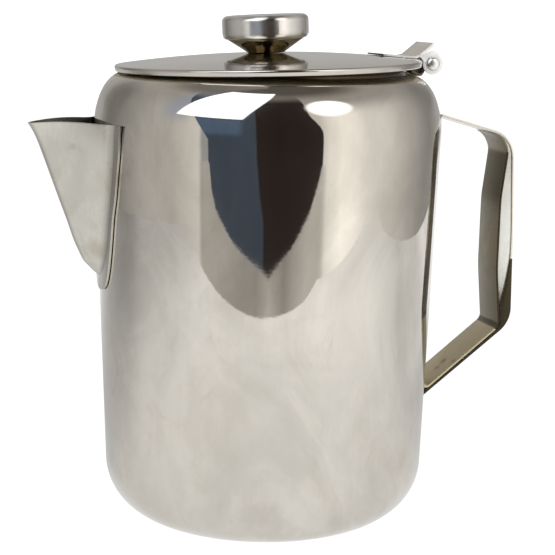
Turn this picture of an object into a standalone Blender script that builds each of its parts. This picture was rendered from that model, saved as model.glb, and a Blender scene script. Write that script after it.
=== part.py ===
"""Stove-top coffee percolator: drawn steel pot, folded spout, two-strap handle, hinged lid and lift-out pump.

Frame: millimetres in the code, metres in the scene.  The pot stands on z = 0 with its axis on +Z.
The handle points along +X and the spout along -X.  The lid opens about an axis parallel to Y.
"""

import math

import bmesh
import bpy
from mathutils import Vector

MM = 0.001

# Gaps and sheet thicknesses
TOUCH_GAP = 0.3
POT_SHEET = 0.9
LID_SHEET = 0.8
SPOUT_SHEET = 0.9
STRAP_SHEET = 1.05
LEAF_SHEET = 0.9
INNER_SHEET = 0.8

# Pot body
POT_BASE_CORNER = 25.0
POT_BASE_RADIUS = 70.3
POT_TOP_RADIUS = 75.0
SHOULDER_START = 168.0
SHOULDER_HEIGHT = 26.7
SHOULDER_POWER = 2.27
MOUTH_RADIUS = 59.5
NECK_TOP = 196.2
POT_SEGMENTS = 40

# Strainer behind the spout: height and angles of the holes in each row
STRAINER_HOLE_RADIUS = 2.0
STRAINER_FIRST_ROW = 128.0
STRAINER_ROW_PITCH = 7.5
STRAINER_ROWS = ((0.0,), (-2.6, 2.6), (-5.0, 0.0, 5.0), (-7.5, -2.5, 2.5, 7.5), (-5.0, 0.0, 5.0))

# Lid, measured before it is tilted
LID_EDGE_Z = 196.8
LID_RADIUS = 66.1
LID_CREASE_Z = 199.0
LID_RISE = 4.0
LID_EDGE_ROUND = 0.9
LID_SEAT_TILT = 0.030
LID_SEAT_PIVOT_Z = 195.8
LID_SEGMENTS = 40
SKIRT_RADIUS = 57.2
SKIRT_BOTTOM = 189.5
SKIRT_FLANGE = 5.5
SCREW_HOLE_RADIUS = 3.1
KNOB_HOLE_RADIUS = 2.3

# Knob
KNOB_RADIUS = 18.6
KNOB_TOP = 219.1
KNOB_EDGE_ROUND = 2.4
KNOB_LIP_Z = 209.2
KNOB_LIP_RADIUS = 17.0
KNOB_NECK_RADIUS = 8.0
KNOB_CONE_RADIUS = 16.3
KNOB_CONE_TOP = 208.9
KNOB_OFFSET = 0.85
KNOB_LEAN = 0.025
KNOB_SHEET = 0.8
KNOB_SEGMENTS = 28
POST_RADIUS = 5.0
POST_TOP = 217.2
POST_BORE_TOP = 214.0
POST_BORE_RADIUS = 2.0
SCREW_RADIUS = 1.7
SCREW_TIP = 212.5
SCREW_HEAD_RADIUS = 3.6
SCREW_HEAD_HEIGHT = 1.6
WASHER_RADIUS = 6.5
WASHER_THICKNESS = 0.8

# Hinge
HINGE_X = 72.2
HINGE_Z = 198.8
LEAF_HALF_WIDTH = 10.0
LEAF_INNER_END = 49.0
LEAF_BEND_RADIUS = 63.6
TAB_TIP = (72.5, 207.5)
EAR_RADIUS = 4.7
EAR_PEAK = (73.5, 204.6)
EAR_HOLE_RADIUS = 1.95
PIN_RADIUS = 1.6
PIN_HEAD_RADIUS = 2.9
PIN_HEAD_HEIGHT = 1.65
PIN_END_PLAY = 0.25
BRACKET_HALF_WIDTH = 8.5
BRACKET_SHEET = 1.0
BRACKET_LIFT = 0.55
BRACKET_WELD_RADII = (62.4, 64.4, 66.2)
BRACKET_RISE = [(67.7, 193.6), (68.75, 195.0)]
KNUCKLE_MEAN_RADIUS = 2.5

# Spout: the front ridge, the fold against the pot and the edge of the flange
SPOUT_TOP = 173.6
SPOUT_TIP_RADIUS = 103.8
SPOUT_FLARE_Z = 166.3
SPOUT_FLARE_RADIUS = 100.0
SPOUT_TOE_RADIUS = 81.9
SPOUT_TOE_Z = 116.5
SPOUT_TOE_END_Z = 108.0
SPOUT_TONGUE_Z = 102.6
SPOUT_FOLD_TOP_DEG = 16.8
SPOUT_FOLD_POWER = 0.55
SPOUT_FLANGE_LOW_DEG = 1.4
SPOUT_FLANGE_TOP_DEG = 22.6
SPOUT_FLANGE_POWER = 0.47
SPOUT_FLANGE_LEAST_DEG = 1.2
SPOUT_TOE_POWER = 1.15
SPOUT_FILLET = 1.1
SPOUT_NOSE = 2.2
SPOUT_NOSE_GROWTH = 0.055
SPOUT_RIM_BOW = 0.85
SPOUT_CORNER_LIFT = 0.55

# Handle, as the outline of its side view (x, z)
HANDLE_HALF_WIDTH = 10.0
HANDLE_ARM_START = (76.6, 176.6)
HANDLE_TOP_CORNER = (112.7, 166.9)
HANDLE_GRIP_MID = (114.2, 125.0)
HANDLE_LOW_CORNER = (114.8, 81.5)
HANDLE_ARM_END = (73.2, 49.9)
HANDLE_BEND = 13.0
LINER_START = (101.5, 167.55)
LINER_TOP_CORNER = (110.3, 165.0)
LINER_TURN = (109.9, 154.5)
LINER_BOW_TOP = (107.0, 138.0)
LINER_BOW_LOW = (107.0, 112.0)
LINER_LOW_CORNER = (108.9, 80.2)
LINER_END = (73.4, 53.1)
LINER_BENDS = (8.5, 24.0, 60.0, 60.0, 4.0, 1.6)
STRAP_BENDS = (1.8, HANDLE_BEND, 240.0, HANDLE_BEND, 1.8)
WELD_TAB = 11.0
FLANGE_EDGE = 1.1
FLANGE_OPEN_Z = 121.0
FLANGE_SHUT_Z = 95.0
FLANGE_LEAST = 0.05
FLANGE_REACH = 9.0

# Pump, basket and spreader
FLOOR_Z = POT_SHEET
TUBE_RADIUS = 5.5
TUBE_BORE = 4.8
TUBE_BOTTOM = 9.0
TUBE_TOP = 186.0
FOOT_RADIUS = 33.0
FOOT_HEIGHT = 15.0
FOOT_DECK_RADIUS = 20.0
FOOT_COLLAR_TOP = 24.0
VALVE_HOLE_RADIUS = 1.8
VALVE_HOLE_RING = 13.5
VALVE_HOLES = 6
VALVE_RADIUS = 17.0
VALVE_SHEET = 0.8
VALVE_LIFT = 2.5
REST_Z = 119.0
REST_RADIUS = 9.5
REST_HEIGHT = 2.4
BASKET_FLOOR = 121.8
BASKET_TOP = 171.0
BASKET_RADIUS = 50.0
BASKET_TAPER = 2.0
BASKET_SEGMENTS = 32
SLEEVE_RADIUS = 7.4
SLEEVE_TOP = 168.0
SLEEVE_BRIM = 2.2
SPREADER_RADIUS = 51.4
DRIP_HOLE_RADIUS = 1.5
DRIP_INNER_HOLES = 6
DRIP_OUTER_HOLES = 10
BASKET_INNER_RING = 20.0
BASKET_OUTER_RING = 35.0
SPREADER_INNER_RING = 30.0
SPREADER_OUTER_RING = 41.0
TUBE_SEGMENTS = 20


def clear_scene():
    for obj in list(bpy.data.objects):
        bpy.data.objects.remove(obj, do_unlink=True)


def steel(name, colour, roughness):
    material = bpy.data.materials.new(name)
    material.use_nodes = True
    shader = material.node_tree.nodes["Principled BSDF"]
    shader.inputs["Base Color"].default_value = (*colour, 1.0)
    shader.inputs["Metallic"].default_value = 1.0
    shader.inputs["Roughness"].default_value = roughness
    material.diffuse_color = (*colour, 1.0)
    return material


def make_object(name, points, faces, colour, roughness, origin=(0.0, 0.0, 0.0)):
    """A closed mesh from millimetre points, with its origin at a chosen place."""
    base = Vector(origin)
    mesh = bpy.data.meshes.new(name)
    mesh.from_pydata([(Vector(p) - base) * MM for p in points], [], faces)
    work = bmesh.new()
    work.from_mesh(mesh)
    bmesh.ops.recalc_face_normals(work, faces=work.faces)
    work.to_mesh(mesh)
    work.free()
    for polygon in mesh.polygons:
        polygon.use_smooth = True
    mesh.set_sharp_from_angle(angle=math.radians(32.0))
    mesh.materials.append(steel(name, colour, roughness))
    obj = bpy.data.objects.new(name, mesh)
    obj.location = base * MM
    bpy.context.scene.collection.objects.link(obj)
    return obj


def make_cutter(name, points, faces, origin=(0.0, 0.0, 0.0)):
    obj = make_object(name, points, faces, (0.5, 0.5, 0.5), 0.5, origin)
    obj.hide_render = True
    obj.display_type = "WIRE"
    return obj


def combine(target, tool, operation):
    modifier = target.modifiers.new(operation.title(), "BOOLEAN")
    modifier.object = tool
    modifier.operation = operation
    modifier.solver = "EXACT"


def offset_path(path, distance):
    """The path moved sideways by a distance, to its left for a positive one, with mitred corners."""
    moved = []
    last = len(path) - 1
    for i, point in enumerate(path):
        here = Vector(point)
        before = here - Vector(path[i - 1]) if i > 0 else Vector(path[1]) - here
        after = Vector(path[i + 1]) - here if i < last else before
        before.normalize()
        after.normalize()
        left_before = Vector((-before.y, before.x))
        left_after = Vector((-after.y, after.x))
        middle = (left_before + left_after).normalized()
        stretch = max(middle.dot(left_after), 0.4)
        moved.append(tuple(here + middle * (distance / stretch)))
    return moved


def sheet_loop(path, thickness):
    """A closed outline: the path, then the same path moved sideways and walked backwards."""
    return list(path) + offset_path(path, thickness)[::-1]


def rounded_path(corners, radii, steps):
    """The corners joined by straight lines, each inner corner replaced with an arc of its own radius."""
    path = [corners[0]]
    for i in range(1, len(corners) - 1):
        corner = Vector(corners[i])
        back = (Vector(corners[i - 1]) - corner).normalized()
        ahead = (Vector(corners[i + 1]) - corner).normalized()
        half = 0.5 * math.acos(max(-1.0, min(1.0, back.dot(ahead))))
        reach = radii[i - 1] / math.tan(half)
        centre = corner + (back + ahead).normalized() * (radii[i - 1] / math.sin(half))
        start = corner + back * reach - centre
        end = corner + ahead * reach - centre
        turn = start.angle_signed(end)
        for k in range(steps + 1):
            bearing = -turn * k / steps
            c, s = math.cos(bearing), math.sin(bearing)
            path.append((centre.x + c * start.x - s * start.y, centre.y + s * start.x + c * start.y))
    path.append(corners[-1])
    return path


def arc(centre, radius, first_deg, last_deg, steps):
    turned = [math.radians(first_deg + (last_deg - first_deg) * k / steps) for k in range(steps + 1)]
    return [(centre[0] + radius * math.cos(a), centre[1] + radius * math.sin(a)) for a in turned]


def revolve(loop, segments, closed=True, place=None):
    """Points and faces of a closed (radius, height) loop turned about an axis; radius 0 makes a pole."""
    points = []
    rings = []
    for radius, height in loop:
        if radius < 1e-9:
            rings.append([len(points)])
            points.append((0.0, 0.0, height))
            continue
        start = len(points)
        for k in range(segments):
            angle = 2.0 * math.pi * k / segments
            points.append((radius * math.cos(angle), radius * math.sin(angle), height))
        rings.append(list(range(start, start + segments)))
    faces = []
    pairs = list(zip(rings, rings[1:] + rings[:1])) if closed else list(zip(rings, rings[1:]))
    for low, high in pairs:
        if len(low) == 1 and len(high) == 1:
            continue
        for k in range(segments):
            n = (k + 1) % segments
            if len(low) == 1:
                faces.append((low[0], high[n], high[k]))
            elif len(high) == 1:
                faces.append((low[k], low[n], high[0]))
            else:
                faces.append((low[k], low[n], high[n], high[k]))
    if place:
        points = [place(p) for p in points]
    return points, faces


def strip(path, thickness, half_width):
    """A sheet that follows an (x, z) path, its left face on the path's left side, between -y and +y."""
    other = offset_path(path, thickness)
    points = []
    for near, far in zip(path, other):
        points.append((near[0], -half_width, near[1]))
        points.append((near[0], half_width, near[1]))
        points.append((far[0], half_width, far[1]))
        points.append((far[0], -half_width, far[1]))
    faces = [(0, 1, 2, 3)]
    for i in range(len(path) - 1):
        a, b = 4 * i, 4 * i + 4
        for k in range(4):
            n = (k + 1) % 4
            faces.append((a + k, a + n, b + n, b + k))
    end = 4 * (len(path) - 1)
    faces.append((end + 3, end + 2, end + 1, end))
    return points, faces


def plate(outline, low_y, high_y):
    """A flat plate with an (x, z) outline between two y values."""
    count = len(outline)
    points = [(x, low_y, z) for x, z in outline] + [(x, high_y, z) for x, z in outline]
    faces = [tuple(range(count)), tuple(range(2 * count - 1, count - 1, -1))]
    for k in range(count):
        n = (k + 1) % count
        faces.append((k, n, count + n, count + k))
    return points, faces


def merge_shapes(shapes):
    points, faces = [], []
    for shape_points, shape_faces in shapes:
        base = len(points)
        points += shape_points
        faces += [tuple(base + i for i in face) for face in shape_faces]
    return points, faces


def drill(centre, axis, radius, half_length, segments):
    """A round cutter through a centre along an axis."""
    way = Vector(axis).normalized()
    side = way.orthogonal().normalized()
    other = way.cross(side)
    points = []
    for end in (-half_length, half_length):
        for k in range(segments):
            angle = 2.0 * math.pi * (k + 0.5) / segments
            spoke = side * (radius * math.cos(angle)) + other * (radius * math.sin(angle))
            points.append(tuple(Vector(centre) + way * end + spoke))
    faces = [tuple(range(segments - 1, -1, -1)), tuple(range(segments, 2 * segments))]
    for k in range(segments):
        n = (k + 1) % segments
        faces.append((k, n, segments + n, segments + k))
    return points, faces


# Shared shape functions


def shoulder_height(radius):
    part = (radius - MOUTH_RADIUS) / (POT_TOP_RADIUS - MOUTH_RADIUS)
    part = max(0.0, min(1.0, part))
    return SHOULDER_START + SHOULDER_HEIGHT * (1.0 - part**SHOULDER_POWER) ** (1.0 / SHOULDER_POWER)


def wall_radius(height):
    if height <= SHOULDER_START:
        part = max(0.0, height - POT_BASE_CORNER) / (SHOULDER_START - POT_BASE_CORNER)
        return POT_BASE_RADIUS + (POT_TOP_RADIUS - POT_BASE_RADIUS) * part
    part = min(1.0, (height - SHOULDER_START) / SHOULDER_HEIGHT)
    reach = (1.0 - part**SHOULDER_POWER) ** (1.0 / SHOULDER_POWER)
    return MOUTH_RADIUS + (POT_TOP_RADIUS - MOUTH_RADIUS) * reach


def dome_height(radius):
    return LID_CREASE_Z + LID_RISE * (1.0 - (radius / (LID_RADIUS - LID_EDGE_ROUND)) ** 2)


def tilted(point):
    """The lid rests with its hinge side a little high: a small turn about Y through the rim's centre."""
    c, s = math.cos(LID_SEAT_TILT), math.sin(LID_SEAT_TILT)
    x, rise = point[0], point[-1] - LID_SEAT_PIVOT_Z
    turned = (x * c - rise * s, LID_SEAT_PIVOT_Z + x * s + rise * c)
    return (turned[0], point[1], turned[1]) if len(point) == 3 else turned


def knob_place(point):
    """The knob sits a little off the lid's centre and leans with its screw in an oversize hole."""
    c, s = math.cos(KNOB_LEAN), math.sin(KNOB_LEAN)
    x, y, height = point
    rise = height - dome_height(0.0)
    return tilted((x * c - rise * s - KNOB_OFFSET, y, dome_height(0.0) + x * s + rise * c))


LID_ORIGIN = (HINGE_X, 0.0, HINGE_Z)


# Pot


def build_pot_shell():
    corner = (POT_BASE_RADIUS - POT_BASE_CORNER, POT_BASE_CORNER)
    outside = [(0.0, 0.0)] + arc(corner, POT_BASE_CORNER, -90.0, 0.0, 5)
    outside.append((POT_TOP_RADIUS, SHOULDER_START))
    for k in range(1, 9):
        angle = math.radians(90.0 * k / 8)
        power = 2.0 / SHOULDER_POWER
        across = (POT_TOP_RADIUS - MOUTH_RADIUS) * max(math.cos(angle), 0.0) ** power
        up = SHOULDER_HEIGHT * math.sin(angle) ** power
        outside.append((MOUTH_RADIUS + (across if k < 8 else 0.0), SHOULDER_START + up))
    outside.append((MOUTH_RADIUS, NECK_TOP))
    points, faces = revolve(sheet_loop(outside, POT_SHEET), POT_SEGMENTS)
    pot = make_object("pot_shell", points, faces, (0.62, 0.60, 0.57), 0.16)
    holes = []
    for row, angles in enumerate(STRAINER_ROWS):
        height = STRAINER_FIRST_ROW + STRAINER_ROW_PITCH * row
        for degrees in angles:
            angle = math.pi + math.radians(degrees)
            way = (math.cos(angle), math.sin(angle), 0.0)
            middle = (wall_radius(height) - 0.5 * POT_SHEET) * Vector(way)
            centre = (middle.x, middle.y, height)
            holes.append(drill(centre, way, STRAINER_HOLE_RADIUS, 3.0, 8))
    combine(pot, make_cutter("cut_strainer", *merge_shapes(holes)), "DIFFERENCE")


def spout_heights():
    """Heights of the level sections, from the tongue to the rim."""
    stops = ((SPOUT_TONGUE_Z, 3), (SPOUT_TOE_END_Z, 3), (SPOUT_TOE_Z, 7), (SPOUT_FLARE_Z, 2), (SPOUT_TOP, 1))
    heights = []
    for (low, steps), (high, _) in zip(stops, stops[1:]):
        heights += [low + (high - low) * k / steps for k in range(steps)]
    return heights + [SPOUT_TOP]


def between(value, low, high):
    """Where a value lies between two others, as a share."""
    return (value - low) / (high - low)


def skin_radius(height):
    """Radius of the outer face of a sheet that lies on the pot's wall."""
    return wall_radius(height) + TOUCH_GAP + SPOUT_SHEET


def ridge_radius(height):
    """Radius of the spout's front ridge."""
    if height >= SPOUT_FLARE_Z:
        part = between(height, SPOUT_FLARE_Z, SPOUT_TOP)
        return SPOUT_FLARE_RADIUS + (SPOUT_TIP_RADIUS - SPOUT_FLARE_RADIUS) * part
    if height >= SPOUT_TOE_Z:
        part = between(height, SPOUT_TOE_Z, SPOUT_FLARE_Z)
        return SPOUT_TOE_RADIUS + (SPOUT_FLARE_RADIUS - SPOUT_TOE_RADIUS) * part
    if height > SPOUT_TOE_END_Z:
        part = between(height, SPOUT_TOE_END_Z, SPOUT_TOE_Z)
        foot = skin_radius(SPOUT_TOE_END_Z)
        return foot + (SPOUT_TOE_RADIUS - foot) * part**SPOUT_TOE_POWER
    return skin_radius(height)


def spout_levels():
    """For each height: ridge radius, fold angle, flange angle and the radius of the skin on the wall."""
    levels = []
    for height in spout_heights():
        skin = skin_radius(height)
        climb = max(0.0, between(height, SPOUT_TOE_END_Z, SPOUT_TOP))
        fold = max(1.0, SPOUT_FOLD_TOP_DEG * climb**SPOUT_FOLD_POWER)
        drop = max(0.0, between(height, SPOUT_TONGUE_Z, SPOUT_TOP))
        spread = SPOUT_FLANGE_TOP_DEG - SPOUT_FLANGE_LOW_DEG
        flange = SPOUT_FLANGE_LOW_DEG + spread * drop**SPOUT_FLANGE_POWER
        flange = max(flange, fold + SPOUT_FLANGE_LEAST_DEG)
        levels.append((height, max(ridge_radius(height), skin), fold, flange, skin))
    return levels


def spout_section(height, ridge, fold, flange, skin):
    """Half of one level section, from the flange edge to the ridge, as (outward, sideways) points."""
    bump = ridge - skin
    nose = min(SPOUT_NOSE + SPOUT_NOSE_GROWTH * bump, 0.3 * bump + 0.6)
    fold_angle, edge_angle = math.radians(fold), math.radians(flange)
    section = []
    for k in range(4):
        angle = edge_angle + (fold_angle + math.radians(0.9) - edge_angle) * k / 3
        section.append((skin * math.cos(angle), skin * math.sin(angle)))
    root = Vector((skin * math.cos(fold_angle), skin * math.sin(fold_angle)))
    root.x += min(SPOUT_FILLET, 0.25 * bump)
    tip = Vector((ridge - nose, min(nose, 0.75 * root.y)))
    for k in range(4):
        point = root.lerp(tip, k / 3)
        section.append((point.x, point.y))
    for degrees in (52.0, 22.0):
        angle = math.radians(degrees)
        section.append((ridge - nose + nose * math.cos(angle), tip.y * math.sin(angle)))
    section.append((ridge, 0.0))
    return section


def build_spout():
    outer_rows, inner_rows = [], []
    for level in spout_levels():
        half = spout_section(*level)
        whole = half + [(u, -w) for u, w in half[-2::-1]]
        inner = offset_path(whole, -SPOUT_SHEET)
        limit = level[4] - SPOUT_SHEET
        safe = []
        for u, w in inner:
            reach = math.hypot(u, w)
            grow = max(1.0, limit / reach)
            safe.append((u * grow, w * grow))
        bow = max(0.0, between(level[0], SPOUT_FLARE_Z, SPOUT_TOP))
        for rows, line in ((outer_rows, whole), (inner_rows, safe)):
            row = []
            for u, w in line:
                along = max(0.0, min(1.0, between(u, level[4], SPOUT_TIP_RADIUS)))
                lift = bow * (SPOUT_RIM_BOW * math.sin(math.pi * along) + SPOUT_CORNER_LIFT * (1.0 - along))
                row.append((-u, -w, level[0] + lift))
            rows.append(row)
    wide = len(outer_rows[0])
    tall = len(outer_rows)
    points = [p for row in outer_rows for p in row] + [p for row in inner_rows for p in row]
    back = wide * tall
    faces = []
    for j in range(tall - 1):
        for i in range(wide - 1):
            a = j * wide + i
            faces.append((a, a + 1, a + wide + 1, a + wide))
            faces.append((back + a, back + a + wide, back + a + wide + 1, back + a + 1))
        for i in (0, wide - 1):
            a = j * wide + i
            faces.append((a, a + wide, back + a + wide, back + a))
    for i in range(wide - 1):
        for j in (0, tall - 1):
            a = j * wide + i
            faces.append((a, back + a, back + a + 1, a + 1))
    make_object("spout", points, faces, (0.64, 0.61, 0.57), 0.26)


def crossing(point, way, path):
    """How far along a direction the path is first met, or None."""
    nearest = None
    for first, second in zip(path, path[1:]):
        start = Vector(first)
        run = Vector(second) - start
        depth = way.x * run.y - way.y * run.x
        if abs(depth) < 1e-9:
            continue
        gap = start - point
        along = (gap.x * run.y - gap.y * run.x) / depth
        part = (gap.x * way.y - gap.y * way.x) / depth
        if -1e-6 <= part <= 1.0 + 1e-6 and along > 0.0 and (nearest is None or along < nearest):
            nearest = along
    return nearest


def liner_path():
    """The inner face of the grip liner, from the upper bend to its weld tab on the wall."""
    tab_x = wall_radius(LINER_END[1]) + TOUCH_GAP
    corners = [LINER_START, LINER_TOP_CORNER, LINER_TURN, LINER_BOW_TOP, LINER_BOW_LOW, LINER_LOW_CORNER]
    corners.append((tab_x + STRAP_SHEET, LINER_END[1] - 1.2))
    corners.append((tab_x + STRAP_SHEET + 0.4, LINER_END[1] + WELD_TAB))
    return rounded_path(corners, LINER_BENDS, 5)


def build_handle():
    liner = liner_path()
    points, faces = strip(liner, STRAP_SHEET, HANDLE_HALF_WIDTH)
    make_object("handle_liner", points, faces, (0.60, 0.57, 0.52), 0.22)
    liner_back = offset_path(liner, STRAP_SHEET)

    wall_top = wall_radius(HANDLE_ARM_START[1] - WELD_TAB) + TOUCH_GAP + STRAP_SHEET
    wall_low = wall_radius(HANDLE_ARM_END[1]) + TOUCH_GAP + STRAP_SHEET
    corners = [(wall_top, HANDLE_ARM_START[1] - WELD_TAB), (wall_top + 0.1, HANDLE_ARM_START[1] + 0.6)]
    corners += [HANDLE_TOP_CORNER, HANDLE_GRIP_MID, HANDLE_LOW_CORNER]
    corners += [(wall_low, HANDLE_ARM_END[1] - 1.0), (wall_low - 0.4, HANDLE_ARM_END[1] - 1.0 - WELD_TAB)]
    outer = rounded_path(corners, STRAP_BENDS, 6)
    inner = offset_path(outer, -STRAP_SHEET)
    wide = HANDLE_HALF_WIDTH
    points = []
    for face, back in zip(outer, inner):
        way = (Vector(back) - Vector(face)).normalized()
        space = crossing(Vector(back), way, liner_back)
        shut = (FLANGE_OPEN_Z - back[1]) / (FLANGE_OPEN_Z - FLANGE_SHUT_Z)
        shut = max(0.0, min(1.0, shut)) ** 2
        depth = FLANGE_LEAST
        if space is not None and space < FLANGE_REACH:
            depth = max(FLANGE_LEAST, (space - TOUCH_GAP) * shut)
        lip = Vector(back) + way * depth
        for y, at in ((-wide, face), (wide, face), (wide, lip), (wide - FLANGE_EDGE, lip)):
            points.append((at[0], y, at[1]))
        for y, at in ((wide - FLANGE_EDGE, back), (FLANGE_EDGE - wide, back)):
            points.append((at[0], y, at[1]))
        for y in (FLANGE_EDGE - wide, -wide):
            points.append((lip.x, y, lip.y))
    count = len(outer)
    faces = []
    for i in range(count - 1):
        a, b = 8 * i, 8 * i + 8
        for k in range(8):
            n = (k + 1) % 8
            faces.append((a + k, a + n, b + n, b + k))
    for a in (0, 8 * (count - 1)):
        faces += [(a, a + 1, a + 4, a + 5), (a + 1, a + 2, a + 3, a + 4), (a + 5, a + 6, a + 7, a)]
    make_object("handle_strap", points, faces, (0.62, 0.59, 0.55), 0.18)


def build_hinge_bracket():
    """The fixed leaf: welded on the shoulder, raised to the pin and rolled once around it."""
    path = []
    for radius in BRACKET_WELD_RADII:
        path.append((radius, shoulder_height(radius) + BRACKET_LIFT))
    path += BRACKET_RISE
    knuckle = KNUCKLE_MEAN_RADIUS + 0.5 * BRACKET_SHEET
    path += arc((HINGE_X, HINGE_Z), knuckle, 205.0, 525.0, 13)
    points, faces = strip(path, BRACKET_SHEET, BRACKET_HALF_WIDTH)
    make_object("hinge_bracket", points, faces, (0.55, 0.53, 0.50), 0.30)


def build_hinge_pin():
    inner_face = LEAF_HALF_WIDTH + PIN_END_PLAY
    tip = inner_face + PIN_HEAD_HEIGHT
    dome = [(PIN_HEAD_RADIUS, inner_face), (0.92 * PIN_HEAD_RADIUS, inner_face + 0.7)]
    dome += [(0.6 * PIN_HEAD_RADIUS, tip - 0.3)]
    loop = [(0.0, -tip)] + [(r, -h) for r, h in dome[::-1]] + [(PIN_RADIUS, -inner_face)]
    loop += [(PIN_RADIUS, inner_face)] + dome + [(0.0, tip)]

    def across(point):
        return (HINGE_X + point[0], point[2], HINGE_Z + point[1])

    points, faces = revolve(loop, 20, closed=False, place=across)
    make_object("hinge_pin", points, faces, (0.78, 0.76, 0.74), 0.18)


# Lid


def build_lid_shell():
    edge = (LID_RADIUS - LID_EDGE_ROUND, LID_CREASE_Z - LID_EDGE_ROUND)
    top = [(SCREW_HOLE_RADIUS, dome_height(SCREW_HOLE_RADIUS))]
    for radius in (16.0, 32.0, 48.0):
        top.append((radius, dome_height(radius)))
    top += arc(edge, LID_EDGE_ROUND, 82.0, 0.0, 4) + [(LID_RADIUS, LID_EDGE_Z)]
    points, faces = revolve(sheet_loop(top, -LID_SHEET), LID_SEGMENTS, place=tilted)
    make_object("lid_shell", points, faces, (0.60, 0.58, 0.54), 0.18, LID_ORIGIN)


def build_lid_skirt():
    under = LID_SHEET + TOUCH_GAP
    bend = SKIRT_RADIUS - 0.6
    path = [(SKIRT_RADIUS, SKIRT_BOTTOM), (SKIRT_RADIUS, dome_height(SKIRT_RADIUS) - under - 0.6)]
    path += [(bend, dome_height(bend) - under)]
    path += [(SKIRT_RADIUS - SKIRT_FLANGE, dome_height(SKIRT_RADIUS - SKIRT_FLANGE) - under)]
    points, faces = revolve(sheet_loop(path, INNER_SHEET), LID_SEGMENTS, place=tilted)
    make_object("lid_skirt", points, faces, (0.60, 0.58, 0.55), 0.28, LID_ORIGIN)


def ear_outline():
    centre = (HINGE_X, HINGE_Z)
    outline = [tilted((LEAF_BEND_RADIUS - 1.5, dome_height(LEAF_BEND_RADIUS - 1.5) + 0.75))]
    outline += [EAR_PEAK] + arc(centre, EAR_RADIUS, 40.0, -170.0, 8)
    outline += [(67.5, 200.2), (66.3, 201.75)]
    return outline


def build_lid_hinge_leaf():
    """The moving leaf: a strap on the dome, a raised thumb tab and two ears around the pin."""
    path = []
    for radius in (LEAF_INNER_END, 54.0, 59.0, LEAF_BEND_RADIUS):
        path.append(tilted((radius, dome_height(radius) + TOUCH_GAP)))
    start = Vector(path[-1])
    rise = Vector(TAB_TIP) - start
    path.append(tuple(start + rise * 0.12 + Vector((0.35, -0.5))))
    path.append(tuple(start + rise * 0.3 + Vector((0.3, -0.4))))
    path.append(TAB_TIP)
    points, faces = strip(path, LEAF_SHEET, LEAF_HALF_WIDTH)
    leaf = make_object("lid_hinge_leaf", points, faces, (0.66, 0.63, 0.58), 0.22, LID_ORIGIN)
    ears = []
    for side in (-1.0, 1.0):
        near, far = side * LEAF_HALF_WIDTH, side * (LEAF_HALF_WIDTH - LEAF_SHEET)
        ears.append(plate(ear_outline(), min(near, far), max(near, far)))
    combine(leaf, make_cutter("join_ears", *merge_shapes(ears), LID_ORIGIN), "UNION")
    bore = drill((HINGE_X, 0.0, HINGE_Z), (0.0, 1.0, 0.0), EAR_HOLE_RADIUS, 12.0, 20)
    combine(leaf, make_cutter("cut_ear_bore", *bore, LID_ORIGIN), "DIFFERENCE")


def build_knob():
    top = KNOB_TOP
    rounded = (KNOB_RADIUS - KNOB_EDGE_ROUND, top - KNOB_EDGE_ROUND)
    path = [(0.0, top), (0.6 * KNOB_RADIUS, top)] + arc(rounded, KNOB_EDGE_ROUND, 82.0, 0.0, 4)
    path += [(KNOB_RADIUS, KNOB_LIP_Z + 1.5), (KNOB_RADIUS - 0.5, KNOB_LIP_Z + 0.4)]
    path.append((KNOB_LIP_RADIUS, KNOB_LIP_Z))
    loop = sheet_loop(path, -KNOB_SHEET)
    points, faces = revolve(loop, KNOB_SEGMENTS, place=knob_place)
    make_object("knob_cap", points, faces, (0.66, 0.64, 0.61), 0.10, LID_ORIGIN)

    foot = dome_height(0.0) + TOUCH_GAP
    cone = [(KNOB_HOLE_RADIUS, foot), (KNOB_NECK_RADIUS, foot), (KNOB_CONE_RADIUS, KNOB_CONE_TOP)]
    points, faces = revolve(sheet_loop(cone, KNOB_SHEET), KNOB_SEGMENTS, place=knob_place)
    make_object("knob_cone", points, faces, (0.55, 0.53, 0.47), 0.14, LID_ORIGIN)

    low = foot + KNOB_SHEET + TOUCH_GAP
    post = [(0.0, POST_BORE_TOP), (POST_BORE_RADIUS, POST_BORE_TOP), (POST_BORE_RADIUS, low)]
    post += [(POST_RADIUS, low), (POST_RADIUS, POST_TOP), (0.0, POST_TOP)]
    points, faces = revolve(post, TUBE_SEGMENTS, closed=False, place=knob_place)
    make_object("knob_post", points, faces, (0.60, 0.60, 0.60), 0.35, LID_ORIGIN)


def build_knob_fastener():
    under = dome_height(0.0) - LID_SHEET - TOUCH_GAP
    washer_low = under - WASHER_THICKNESS
    ring = [(KNOB_HOLE_RADIUS, washer_low), (WASHER_RADIUS, washer_low), (WASHER_RADIUS, under)]
    ring += [(KNOB_HOLE_RADIUS, under)]
    points, faces = revolve(ring, TUBE_SEGMENTS, place=knob_place)
    make_object("knob_washer", points, faces, (0.62, 0.62, 0.62), 0.35, LID_ORIGIN)

    head_top = washer_low - TOUCH_GAP
    head_low = head_top - SCREW_HEAD_HEIGHT
    screw = [(0.0, head_low), (0.6 * SCREW_HEAD_RADIUS, head_low), (SCREW_HEAD_RADIUS, head_top - 0.5)]
    screw += [(SCREW_HEAD_RADIUS, head_top), (SCREW_RADIUS, head_top), (SCREW_RADIUS, SCREW_TIP)]
    screw += [(0.0, SCREW_TIP)]
    points, faces = revolve(screw, 16, closed=False, place=knob_place)
    make_object("knob_screw", points, faces, (0.60, 0.60, 0.60), 0.30, LID_ORIGIN)


# Pump and basket


def ring_of_holes(ring_radius, count, height, hole_radius, phase_deg):
    holes = []
    for k in range(count):
        angle = 2.0 * math.pi * k / count + math.radians(phase_deg)
        centre = (ring_radius * math.cos(angle), ring_radius * math.sin(angle), height)
        holes.append(drill(centre, (0.0, 0.0, 1.0), hole_radius, 4.0, 6))
    return holes


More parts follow.
